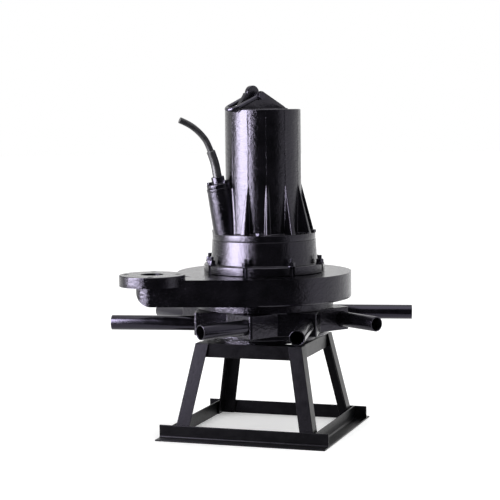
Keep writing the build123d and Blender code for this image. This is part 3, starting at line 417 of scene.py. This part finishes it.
softbox = studio["softbox"]
softboxLamp = areaLamp("softbox", tuple(at(softbox["angle"], softbox["away"], softbox["high"])), (0, 0, softbox["high"]), softbox)
softboxLamp.visible_diffuse = False
areaLamp("top", (0.3, -0.6, studio["top"]["high"]), (0, 0, 0.4), studio["top"])

world = bpy.data.worlds.new("studioWorld")
world.use_nodes = True
sky = world.node_tree
sky.nodes.clear()
glow = addNode(sky, "ShaderNodeBackground", {"Color": (1, 1, 1, 1), "Strength": 1.0})
addNode(sky, "ShaderNodeOutputWorld", None, {"Surface": glow.outputs[0]})
bpy.context.scene.world = world
bpy.context.scene.view_settings.view_transform = "Standard"

floorMesh = bpy.data.meshes.new("studioFloor")
floorTurn = np.linspace(0, 2 * np.pi, 96, endpoint=False)
floorRim = np.stack([np.cos(floorTurn), np.sin(floorTurn), 0 * floorTurn], axis=-1) * studio["floorRadius"]
floorMesh.from_pydata((floorRim - np.array([0, 0, 0.0004])).tolist(), [], [list(range(96))])
studioFloor = bpy.data.objects.new("studioFloor", floorMesh)
bpy.context.scene.collection.objects.link(studioFloor)
paper, paperTree, paperPlace = newFinish("floorPaper")
paperShader = addNode(paperTree, "ShaderNodeBsdfDiffuse", {"Color": linear("#f7f7f7")})
# The paper reads as white to the camera and in the gloss, and the object still shades it
rays = addNode(paperTree, "ShaderNodeLightPath").outputs
seen = addNode(
    paperTree, "ShaderNodeMath", {"operation": "MAXIMUM"}, {0: rays["Is Camera Ray"], 1: rays["Is Glossy Ray"]}
)
seenAtAll = addNode(
    paperTree, "ShaderNodeMath", {"operation": "MAXIMUM"}, {0: seen.outputs[0], 1: rays["Is Transmission Ray"]}
)
lift = addNode(paperTree, "ShaderNodeMath", {"operation": "MULTIPLY"}, {0: seenAtAll.outputs[0]})
lift.inputs[1].default_value = studio["paperLift"]
paperGlow = addNode(paperTree, "ShaderNodeEmission", {"Color": (1, 1, 1, 1)}, {"Strength": lift.outputs[0]})
paperSum = addNode(paperTree, "ShaderNodeAddShader", None, {0: paperShader.outputs[0], 1: paperGlow.outputs[0]})
addNode(paperTree, "ShaderNodeOutputMaterial", None, {"Surface": paperSum.outputs[0]})
floorMesh.materials.append(paper)

# A dark drape behind the camera, which the gloss shows as the black band down the motor
drape = {"near": 0.55, "away": 2.4, "from": -110.0, "to": -20.0, "high": 3.0, "low": 0.002}
drapeTurn = np.radians(np.linspace(drape["from"], drape["to"], 24))
drapeRound = np.stack([np.cos(drapeTurn), np.sin(drapeTurn), 0 * drapeTurn], axis=-1)
drapeGrid = np.stack([
    drapeRound * reach + np.array([0, 0, level])
    for reach, level in ((drape["near"], drape["low"]), (drape["away"], drape["low"]), (drape["away"], drape["high"]))
])
drapeMesh = bpy.data.meshes.new("darkDrape")
drapeMesh.from_pydata(drapeGrid.reshape(-1, 3).tolist(), [], gridCells(3, 24, False).tolist())
darkDrape = bpy.data.objects.new("darkDrape", drapeMesh)
bpy.context.scene.collection.objects.link(darkDrape)
darkDrape.visible_camera = False
darkDrape.visible_shadow = False
darkDrape.visible_diffuse = False
cloth, clothTree, clothPlace = newFinish("drapeCloth")
clothShader = addNode(clothTree, "ShaderNodeBsdfDiffuse", {"Color": linear("#0a090c")})
addNode(clothTree, "ShaderNodeOutputMaterial", None, {"Surface": clothShader.outputs[0]})
drapeMesh.materials.append(cloth)
print("camera and studio set")


# Cable entry axis, shared by the gland, the sleeve and the cable

entry = {
    "angle": 216.5, "footR": 110.5, "topR": 133.5, "height": 133.0, "baseRadius": 39.0, "radius": 36.0,
    "root": 9.5, "flare": 1.2, "lipR": 37.5, "lipHeight": 9.0, "boreR": 22.0, "blend": 9.0, "clearance": 2.5,
}
shell = {"footR": 110.2, "topR": 109.0, "boreR": 100.0, "ringR": 149.5, "edge": 3.0, "seam": 1.5, "roof": 14.0}
entryOut = heading(entry["angle"])
entryLean = math.atan2(entry["topR"] - entry["footR"], entry["height"])
entryAxis = entryOut * math.sin(entryLean) + np.array([0, 0, math.cos(entryLean)])
entryLength = math.hypot(entry["topR"] - entry["footR"], entry["height"])
entryFoot = at(entry["angle"], entry["footR"], levels["ringTop"])


def entryFrame(distance):
    return setFrame(entryFoot + entryAxis * distance, entryOut, entryAxis)


# Power cable: the route repeats part.py's points, as distance from the shaft line and height

cable = {
    "radius": 9.0,
    "sleeveStraight": 71.0,
    "sleeveEnd": (158.5, 816.0),
    "firstRun": 25.0,
    "route": [(182.8, 860.5), (202.2, 879.3), (224.6, 894.4), (248.5, 904.6)],
    "length": 0.131,
}
sleeveCorner = entryFoot + entryAxis * (entryLength + cable["sleeveStraight"])
sleeveTip = at(entry["angle"], *cable["sleeveEnd"])
sleeveEndWay = (sleeveTip - sleeveCorner) / np.linalg.norm(sleeveTip - sleeveCorner)
cableRoute = [sleeveTip, sleeveTip + sleeveEndWay * cable["firstRun"]]
cableRoute += [at(entry["angle"], *point) for point in cable["route"]]

cableCurve = bpy.data.curves.new("powerCable", "CURVE")
cableCurve.dimensions = "3D"
cableSpline = cableCurve.splines.new("NURBS")
cableSpline.points.add(len(cableRoute) - 1)
cableSpline.points.foreach_set("co", np.hstack([np.array(cableRoute) / 1000, np.ones((len(cableRoute), 1))]).ravel())
cableSpline.order_u = 3
cableSpline.use_endpoint_u = True
cableSpline.resolution_u = 16
cableCurve.bevel_depth = cable["radius"] / 1000
cableCurve.bevel_resolution = 10
cableCurve.use_fill_caps = True
powerCable = bpy.data.objects.new("powerCable", cableCurve)
bpy.context.scene.collection.objects.link(powerCable)
cableCurve.materials.append(cableJacket)
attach(powerCable, "housing")
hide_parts("power_cable")
print("cable laid")


# Sleeve: a moulded rubber tube that tapers a little and ends in a rounded shoulder

sleeve = {"seal": 14.0, "radius": 13.5, "tipRadius": 12.4, "cornerShare": 0.45, "shoulder": 2.5}


def sleevePath(count):
    # straight up the entry's axis, then an arc that turns to the sleeve's last direction
    turnAngle = math.acos(np.clip(entryAxis @ sleeveEndWay, -1, 1))
    runIn = sleeve["seal"] + cable["sleeveStraight"]
    reach = sleeve["cornerShare"] * min(runIn, np.linalg.norm(sleeveTip - sleeveCorner))
    bendRadius = reach / math.tan(turnAngle / 2)
    footPoint = entryFoot + entryAxis * (entryLength - sleeve["seal"])
    arcStart = sleeveCorner - entryAxis * reach
    across = sleeveEndWay - entryAxis * (sleeveEndWay @ entryAxis)
    across /= np.linalg.norm(across)
    straight = np.linalg.norm(arcStart - footPoint)
    arc = bendRadius * turnAngle
    rest = np.linalg.norm(sleeveTip - sleeveCorner) - reach
    s = np.linspace(0, straight + arc + rest, count)
    bend = np.clip((s - straight) / bendRadius, 0, turnAngle)
    along = np.minimum(s, straight)
    after = np.maximum(s - straight - arc, 0)
    line = footPoint + along[:, None] * entryAxis
    line = line + bendRadius * (np.sin(bend)[:, None] * entryAxis + (1 - np.cos(bend))[:, None] * across)
    line = line + after[:, None] * sleeveEndWay
    way = np.cos(bend)[:, None] * entryAxis + np.sin(bend)[:, None] * across
    return s, line, way


def sweptGrid(line, way, radii, binormal, turns=32):
    # circles square to the path: centre + r (cos t n + sin t b)
    t = np.linspace(0, 2 * np.pi, turns, endpoint=False)[None, :, None]
    b = np.broadcast_to(binormal, line.shape)
    n = np.cross(b, way)
    n /= np.linalg.norm(n, axis=1)[:, None]
    return line[:, None, :] + radii[:, None, None] * (np.cos(t) * n[:, None, :] + np.sin(t) * b[:, None, :])


sleeveS, sleeveLine, sleeveWay = sleevePath(60)
sleeveShare = sleeveS / sleeveS[-1]
sleeveRadii = sleeve["radius"] + (sleeve["tipRadius"] - sleeve["radius"]) * sleeveShare
shoulderDrop = np.clip((sleeveS - sleeveS[-1] + sleeve["shoulder"]) / sleeve["shoulder"], 0, 1)
sleeveRadii = sleeveRadii - sleeve["shoulder"] * (1 - np.sqrt(1 - shoulderDrop ** 2 * 0.98))
entryBinormal = np.cross(entryAxis, entryOut)
entryBinormal /= np.linalg.norm(entryBinormal)
sleeveSkin = sweptGrid(sleeveLine, sleeveWay, sleeveRadii, entryBinormal)
sleeveFoot = np.broadcast_to(sleeveLine[0], (1, 32, 3))
sleeveHead = np.broadcast_to(sleeveLine[-1], (1, 32, 3))
makePiece("cableSleeve", [np.vstack([sleeveFoot, sleeveSkin, sleeveHead])], "cable_rubber", replaced=["cable_sleeve"])


# Motor casting: a barrel with buttress ribs, apart from where the leaning cable entry stands

ribs = {
    "count": 12, "start": -66.7, "height": 142.0, "reach": 146.0, "footWidth": 14.0, "topWidth": 5.0,
    "root": 4.0, "crest": 2.2, "flare": 3.0, "entryGap": 20.0,
}


def ribSection(a, flare, share):
    # for one rib a stretch of barrel, a root arc tangent to barrel and flank, the flank, and the
    # rounded crest, then the same mirrored; the share goes from 0 at the rib's foot to 1 at its top
    w = (ribs["footWidth"] + (ribs["topWidth"] - ribs["footWidth"]) * share) / 2 + flare
    proud = np.maximum(ribs["reach"] + (shell["footR"] - ribs["reach"]) * share - shell["footR"], 0.02)
    reach = a + proud
    root = np.minimum(ribs["root"], proud * 0.5)
    crest = np.minimum(ribs["crest"], proud * 0.3)
    cx = np.sqrt((a + root) ** 2 - (w + root) ** 2)
    touch = np.arctan2(w + root, cx)
    u = np.linspace(0, 1, 6)[None, :]
    barrelTurn = np.pi / ribs["count"] + (touch - np.pi / ribs["count"]) * u
    barrelX, barrelY = a * np.cos(barrelTurn), a * np.sin(barrelTurn)
    v = np.linspace(0, 1, 6)[None, 1:]
    arcFrom = touch + np.pi
    arcTo = np.pi * 1.5
    arcTurn = arcFrom + (arcTo - arcFrom) * v
    rootX, rootY = cx + root * np.cos(arcTurn), w + root + root * np.sin(arcTurn)
    k = np.linspace(0, np.pi / 2, 6)[None, :]
    crestX = reach - crest + crest * np.sin(k)
    crestY = w - crest + crest * np.cos(k)
    halfX = np.concatenate([barrelX, rootX, crestX], axis=1)
    halfY = np.concatenate([barrelY, rootY, crestY], axis=1)
    x = np.concatenate([halfX, halfX[:, ::-1]], axis=1)
    y = np.concatenate([halfY, -halfY[:, ::-1]], axis=1)
    return x[:, None, :], y[:, None, :]


def barrelSections(heights):
    # one closed section for each height above the ring, bare where the entry takes a rib's place
    h = heights[:, None]
    f = ribs["flare"]
    flare = f - np.sqrt(f ** 2 - np.clip(f - h, 0, f) ** 2)
    a = shell["footR"] + (shell["topR"] - shell["footR"]) * h / (levels["shellTop"] - levels["ringTop"]) + flare
    share = np.clip(h / ribs["height"], 0, 1)
    ribX, ribY = ribSection(a, flare, share)
    bareX, bareY = ribSection(a, flare, 0 * share + 1)
    turns = ribs["start"] - np.arange(ribs["count"]) * 360 / ribs["count"]
    kept = (np.abs((turns - entry["angle"] + 180) % 360 - 180) > ribs["entryGap"])[None, :, None]
    x, y = np.where(kept, ribX, bareX), np.where(kept, ribY, bareY)
    c, s = np.cos(np.radians(turns))[None, :, None], np.sin(np.radians(turns))[None, :, None]
    px = (x * c - y * s).reshape(len(heights), -1)
    py = (x * s + y * c).reshape(len(heights), -1)
    return np.stack([px, py, levels["ringTop"] + h + 0 * px], axis=-1)


shellRise = levels["shellTop"] - levels["ringTop"]
sectionHeights = np.concatenate([
    [0, 0.25, 0.7, 1.3, 2.1, 3.0, 5.0],
    np.linspace(8.0, ribs["height"] - 2.0, 26),
    [ribs["height"], ribs["height"] + 2.0],
    np.linspace(ribs["height"] + 12.0, shellRise - shell["edge"], 12),
])
barrel = barrelSections(sectionHeights)
spokes = barrel[-1] / np.linalg.norm(barrel[-1][:, :2], axis=1)[:, None]
spokes = np.column_stack([spokes[:, :2], 0 * spokes[:, 0]])


def circlesAt(profile, spokes):
    # rows of points on the given spokes at each radius and height of the profile
    return profile[:, 0][:, None, None] * spokes[None] + profile[:, 1][:, None, None] * np.array([0, 0, 1.0])


topEdge = roundedLine([(shell["topR"], levels["shellTop"] - 20, 0), (shell["topR"], levels["shellTop"], shell["edge"]), (0, levels["shellTop"], 0)], 6)[2:]
ringSide = roundedLine([
    (120, levels["ringTop"], 0), (shell["ringR"], levels["ringTop"], shell["seam"]),
    (shell["ringR"], levels["drumTop"], shell["seam"]), (shell["boreR"], levels["drumTop"], 0),
    (shell["boreR"], levels["shellTop"] - shell["roof"], 0), (0, levels["shellTop"] - shell["roof"], 0),
], 4)[1:]
# The ledge's first circle lies just outside the rib feet, so the flat ledge closes onto them
motorGrid = np.vstack([circlesAt(ringSide, spokes)[::-1], barrel, circlesAt(topEdge, spokes)])


def entrySections():
    # at each distance up the leaning axis the barrel's circle and the entry's circle are joined by arcs
    # tangent to both: the arc's centre is the corner of a triangle whose three sides are known
    s = np.concatenate([[-4.0, 0.0, 0.4, 1.2, 2.4, 4.0], np.linspace(8, entryLength - entry["lipHeight"] + 2, 26)])[:, None]
    f = entry["flare"]
    flare = f - np.sqrt(f ** 2 - np.clip(f - s, 0, f) ** 2)
    taper = (s + entry["root"]) / (entryLength + entry["root"])
    far = entry["footR"] + (entry["topR"] - entry["footR"]) * s / entryLength
    a = shell["footR"] - 1.2 * s / shellRise - 0.05
    b = entry["baseRadius"] + (entry["radius"] - entry["baseRadius"]) * taper + flare
    k = entry["blend"]
    atShaft = np.arccos((far ** 2 + (a + k) ** 2 - (b + k) ** 2) / (2 * far * (a + k)))
    cx, cy = (a + k) * np.cos(atShaft), (a + k) * np.sin(atShaft)
    atEntry = np.arctan2(cy, cx - far)
    u = np.linspace(0, 1, 9)[None, :]
    arcTo = atEntry + np.pi
    arcFrom = atShaft + np.pi
    arcTurn = arcFrom + (arcTo - arcFrom) * u
    x1, y1 = cx + k * np.cos(arcTurn), cy + k * np.sin(arcTurn)
    faceTurn = atEntry * (1 - np.linspace(0, 1, 14)[None, 1:])
    x2, y2 = far + b * np.cos(faceTurn), b * np.sin(faceTurn)
    x = np.concatenate([x1, x2], axis=1)
    y = np.concatenate([y1, y2], axis=1)
    x = np.concatenate([x, x[:, -2::-1]], axis=1)
    y = np.concatenate([y, -y[:, -2::-1]], axis=1)
    z = levels["ringTop"] + s * math.cos(entryLean) - (x - far) * math.tan(entryLean)
    out, acrossWay = entryOut, np.array([-entryOut[1], entryOut[0], 0])
    grid = x[:, :, None] * out + y[:, :, None] * acrossWay + z[:, :, None] * np.array([0, 0, 1.0])
    low = np.broadcast_to(grid[:1].mean(axis=1, keepdims=True), grid[:1].shape)
    high = np.broadcast_to(grid[-1:].mean(axis=1, keepdims=True), grid[:1].shape)
    return np.vstack([low, grid, high])


lipProfile = roundedLine([
    (entry["boreR"], entryLength - entry["lipHeight"], 0), (entry["lipR"], entryLength - entry["lipHeight"], 1.5),
    (entry["lipR"], entryLength, 1.5), (entry["boreR"], entryLength, 0), (entry["boreR"], entryLength - entry["lipHeight"], 0),
], 4)
motorCasting = makePiece(
    "motorCasting",
    [motorGrid, entrySections(), turnedGrid(lipProfile, 72, entryFrame(0))],
    "casting_enamel",
    replaced=["motor_shell"],
)
print("motor casting shaped")


# Gland: a clamp plate that the barrel cuts short, its boss, and three bolts

gland = {"radius": 35.5, "thickness": 12.0, "bossR": 19.0, "bossHeight": 20.0, "boltCircle": 27.0, "boltFlats": 13.0, "boltHead": 8.0}


def glandGrid():
    # a turned plate whose reach stops where its ray meets the circle round the barrel
    profile = roundedLine([
        (sleeve["radius"], 0, 0), (gland["radius"], 0, 1.2), (gland["radius"], gland["thickness"], 2.5),
        (gland["bossR"], gland["thickness"], 3.0), (gland["bossR"], gland["thickness"] + gland["bossHeight"], 2.5),
        (sleeve["radius"], gland["thickness"] + gland["bossHeight"], 0), (sleeve["radius"], 0, 0),
    ], 4)
    t = np.linspace(0, 2 * np.pi, 96, endpoint=False)[None, :]
    r, h = profile[:, 0][:, None], profile[:, 1][:, None]
    far = entry["topR"] + h * math.sin(entryLean)
    inward = far * np.cos(t)
    inside = inward ** 2 - far ** 2 + (shell["footR"] + entry["clearance"]) ** 2
    stop = np.where((inside > 0) & (np.cos(t) < 0), -inward - np.sqrt(np.maximum(inside, 0)), 1e9)
    r = np.minimum(r + 0 * t, np.maximum(stop, sleeve["radius"] + 3 - 3 * (r <= sleeve["radius"])))
    return placed(np.stack([r * np.cos(t), r * np.sin(t), h + 0 * t], axis=-1), entryFrame(entryLength))


makePiece("glandPlate", [glandGrid()], "casting_enamel", replaced=["gland_plate"])
glandBolts = []
for i in range(3):
    a = math.radians(120 * i)
    origin, axes = entryFrame(entryLength + gland["thickness"])
    spot = (origin + (np.array([math.cos(a), math.sin(a), 0]) * gland["boltCircle"]) @ axes, axes)
    glandBolts.append(hexGrid(gland["boltFlats"], gland["boltHead"], spot))
makePiece("glandBolts", glandBolts, "fastener_paint", replaced=["gland_bolts"])


# Oil chamber: a tapered drum on a flange that is notched for the eight studs

drum = {
    "flangeR": 175.0, "footR": 154.5, "topR": 150.3, "boreR": 126.0, "edge": 5.0, "root": 2.5, "seam": 1.5,
    "studCircle": 168.0, "notch": 6.75, "studs": 8,
}


def drumGrid():
    # turned, except that near each stud the flange's reach drops to the near side of the stud's hole:
    # R cos t - sqrt(n^2 - R^2 sin^2 t)
    half = math.asin(drum["notch"] / drum["studCircle"])
    pitch = 2 * math.pi / drum["studs"]
    free = np.linspace(half, pitch - half, 22)
    inNotch = np.linspace(-half, half, 11)
    t = np.concatenate([inNotch, free])
    dip = drum["studCircle"] * np.cos(inNotch) - np.sqrt(np.maximum(drum["notch"] ** 2 - (drum["studCircle"] * np.sin(inNotch)) ** 2, 0))
    reach = np.concatenate([dip, 0 * free + drum["flangeR"]])
    t = (t[None, :] + pitch * np.arange(drum["studs"])[:, None]).ravel()
    reach = np.tile(reach, drum["studs"])
    low, top, mid = levels["drumBottom"], levels["drumTop"], levels["flangeTop"]
    profile = roundedLine([
        (drum["boreR"], low, 0), (drum["flangeR"], low, 1.0), (drum["flangeR"], mid, drum["edge"]),
        (drum["footR"], mid, drum["root"]), (drum["topR"], top, drum["seam"]), (drum["boreR"], top, 0),
        (drum["boreR"], low + 13.5, 0), (drum["boreR"], low, 0),
    ], 6)
    r, h = profile[:, 0][:, None], profile[:, 1][:, None]
    edgeDrop = np.maximum(drum["flangeR"] - r, 0)
    notched = np.minimum(r, reach[None, :] - np.minimum(edgeDrop, 1.5))
    onFlange = (h <= mid + 0.01) & (r > drum["boreR"] + 1)
    r = np.where(onFlange, notched, r + 0 * t)
    return np.stack([r * np.cos(t), r * np.sin(t), h + 0 * t], axis=-1)


makePiece("oilChamber", [drumGrid()], "casting_enamel", replaced=["oil_chamber"])

# Nuts, washers and threaded studs on the flange, and the other hexagon heads

studFrames = ringFrames(8, 168.0, levels["flangeTop"])
studLow = boxOf("flange_studs")[0][2] - levels["flangeTop"]
studHigh = boxOf("flange_studs")[1][2] - levels["flangeTop"]
washerProfile = roundedLine([(6.5, 0, 0), (12.0, 0, 0.3), (12.0, 2.5, 0.6), (6.5, 2.5, 0), (6.5, 0, 0)], 3)
makePiece("flangeStuds", [threadGrid(6.0, studLow, studHigh, 1.75, f) for f in studFrames], "fastener_paint", replaced=["flange_studs"])
makePiece("flangeWashers", [turnedGrid(washerProfile, 40, f) for f in studFrames], "fastener_paint", replaced=["flange_washers"])
nutFrames = [(origin + np.array([0, 0, 2.5]), axes) for origin, axes in studFrames]
makePiece("flangeNuts", [hexGrid(19.0, 10.8, f, 5.6) for f in nutFrames], "fastener_paint", replaced=["flange_nuts"])
ledgeFrames = ringFrames(4, 141.0, levels["ringTop"], -77.5)
makePiece("ledgeScrews", [hexGrid(18.0, 8.0, f) for f in ledgeFrames], "fastener_paint", replaced=["ledge_screws"])
print("fasteners set")

# Lifting lug: a plate whose outline is a round apex and two straight slopes

lug = {"angle": 58.5, "thick": 14.0, "back": -100.0, "front": 92.0, "apex": -40.0, "height": 68.0, "round": 22.0, "holeAt": -32.0, "holeRise": 39.0, "holeR": 7.3, "edge": 2.0}


def lugOutline(count):
    # from the hole's centre, the distance to the plate's edge in each direction: the least of the
    # foot line and the two slopes, except at the apex, where it is the far side of the apex circle
    hole = np.array([lug["holeAt"], lug["holeRise"]])
    centre = np.array([lug["apex"], lug["height"] - lug["round"]])
    t = np.linspace(0, 2 * np.pi, count, endpoint=False)
    ray = np.stack([np.cos(t), np.sin(t)], axis=-1)
    reach = np.full(count, 1e9)
    for foot, sideWay in ((lug["back"], -1), (lug["front"], 1)):
        span = centre - np.array([foot, 0.0])
        gap = np.linalg.norm(span)
        lean = math.atan2(span[1], span[0]) - sideWay * math.asin(lug["round"] / gap)
        normal = np.array([math.sin(lean), -math.cos(lean)]) * (1 if sideWay > 0 else -1)
        offset = normal @ (np.array([foot, 0.0]) - hole)
        if offset < 0:
            normal, offset = -normal, -offset
        facing = ray @ normal
        reach = np.where(facing > 1e-6, np.minimum(reach, offset / np.maximum(facing, 1e-6)), reach)
    facing = -ray[:, 1]
    reach = np.where(facing > 1e-6, np.minimum(reach, lug["holeRise"] / np.maximum(facing, 1e-6)), reach)
    toCentre = centre - hole
    along = ray @ toCentre
    circle = along + np.sqrt(np.maximum(along ** 2 - toCentre @ toCentre + lug["round"] ** 2, 0))
    upThere = (hole + ray * circle[:, None])[:, 1] > centre[1]
    reach = np.where(upThere & (circle < reach), circle, reach)
    return hole, ray, reach


def lugGrid():
    hole, ray, reach = lugOutline(160)
    half = lug["thick"] / 2
    k = np.linspace(0, np.pi / 2, 5)
    e = lug["edge"]
    # shares run from the hole's wall over its rounded edge, across the face and round the rim
    rows = []
    holeEdge = [(lug["holeR"] + e - e * math.cos(x), half - e + e * math.sin(x)) for x in k]
    rimEdge = [(e - e * math.sin(x), half - e + e * math.cos(x)) for x in k]
    for sign in (1, -1):
        part = [(np.full(len(reach), r), sign * y) for r, y in holeEdge] + [(reach - d, sign * y) for d, y in rimEdge]
        rows += part if sign > 0 else part[::-1]
    rows.append(rows[0])
    along, across = heading(lug["angle"]), heading(lug["angle"] - 90)
    grid = []
    for r, y in rows:
        flat = hole + ray * r[:, None]
        grid.append(flat[:, :1] * along + y * across + np.column_stack([0 * flat[:, 0], 0 * flat[:, 0], levels["shellTop"] + flat[:, 1]]))
    return np.array(grid)


makePiece("liftingLug", [lugGrid()], "casting_enamel", replaced=["lifting_lug"])

# Weld beads: a half-round ridge whose height ripples with each pass of the rod

weld = {"radius": 4.0, "ripple": 5.5}


def weldGrid(start, end, seat, radius, seed=0):
    # a ridge from start to end on a seat whose outward direction is given: its radius is
    # r (1 + 0.12 cos(2 pi s / ripple)) and it closes to a point at both ends
    start, end = np.array(start, float), np.array(end, float)
    length = np.linalg.norm(end - start)
    count = max(10, int(length / 1.4))
    s = np.linspace(0, length, count)
    way = (end - start) / length
    seat = np.array(seat, float) / np.linalg.norm(seat)
    ends = np.sqrt(np.clip(np.minimum(s, length - s) / radius, 0, 1))
    wobble = 0.1 * np.cos(2 * np.pi * s / weld["ripple"]) + 0.08 * np.sin(s * 0.61 + seed) + 0.05 * np.sin(s * 1.7 + 2 * seed)
    radii = radius * (0.9 + wobble) * ends
    line = start + s[:, None] * way
    return sweptGrid(line, np.broadcast_to(way, line.shape), radii, seat, 14)


lugAlong, lugAcross = heading(lug["angle"]), heading(lug["angle"] - 90)
lugBeads = []
for i, side in enumerate((1, -1)):
    base = lugAcross * side * lug["thick"] / 2 + np.array([0, 0, levels["shellTop"]])
    lugBeads.append(weldGrid(base + lugAlong * (lug["back"] + 2), base + lugAlong * (lug["front"] - 2), (0, 0, 1), 4.0, i))
makePiece("lugWelds", lugBeads, "casting_enamel")
print("lug and welds set")

# Pipes: drawn tube with a rounded mouth, with the same paint inside and out

pipe = {
    "count": 8, "turn": -79.7, "offset": 142.0, "level": 330.0, "start": 135.0, "longEnd": 421.5,
    "shortEnd": 329.6, "radius": 21.2, "bore": 17.95, "mouth": 0.9,
}
for i in range(pipe["count"]):
    angle = pipe["turn"] + i * 360 / pipe["count"]
    along, across = heading(angle), heading(angle + 90)
    end = pipe["longEnd"] if i % 2 == 0 else pipe["shortEnd"]
    where = setFrame(across * pipe["offset"] + np.array([0, 0, pipe["level"]]), across, along)
    profile = roundedLine([
        (pipe["bore"], pipe["start"], 0), (pipe["radius"], pipe["start"], 0.5), (pipe["radius"], end, pipe["mouth"]),
        (pipe["bore"], end, pipe["mouth"]), (pipe["bore"], pipe["start"], 0),
    ], 4)
    makePiece(f"diffuserPipe{i + 1}", [turnedGrid(profile, 56, where)], "pipe_paint", replaced=[f"diffuser_pipe_{i + 1}"])
print("pipes set")


# Rolled iron and the mixing chamber with soft edges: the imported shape, merged, with sharp edges rounded

def softPiece(name, nodeName, width, slot):
    mesh = nodes[nodeName].data.copy()
    shape = bmesh.new()
    shape.from_mesh(mesh)
    shape.transform(nodes[nodeName].matrix_world)
    bmesh.ops.remove_doubles(shape, verts=shape.verts, dist=2e-5)
    bmesh.ops.dissolve_limit(shape, angle_limit=math.radians(0.8), verts=shape.verts, edges=shape.edges)
    bmesh.ops.recalc_face_normals(shape, faces=shape.faces)
    shape.to_mesh(mesh)
    shape.free()
    mesh.shade_smooth()
    mesh.materials.clear()
    mesh.materials.append(finishOfSlot[slot])
    piece = bpy.data.objects.new(name, mesh)
    bpy.context.scene.collection.objects.link(piece)
    edges = piece.modifiers.new("softEdges", "BEVEL")
    edges.width = width / 1000
    edges.segments = 3
    edges.limit_method = "ANGLE"
    edges.angle_limit = math.radians(soft["angle"])
    edges.use_clamp_overlap = False
    evened = piece.modifiers.new("evenNormals", "WEIGHTED_NORMAL")
    evened.keep_sharp = True
    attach(piece, "housing")
    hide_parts(nodeName)
    return piece


soft = {"angle": 32.0, "iron": 0.9, "teeth": 2.0}
bpy.context.view_layer.update()
for side in ("Front", "Rear", "Left", "Right"):
    softPiece("baseRail" + side, "base_rail_" + side.lower(), soft["iron"], "frame_paint")
    softPiece("topRail" + side, "top_rail_" + side.lower(), soft["iron"], "frame_paint")
for side in ("front_left", "front_right", "rear_left", "rear_right"):
    softPiece("leg" + side.title().replace("_", ""), "leg_" + side, soft["iron"], "frame_paint")
softPiece("mixingChamber", "mixing_chamber", soft["teeth"], "casting_enamel")
print("soft edges set")
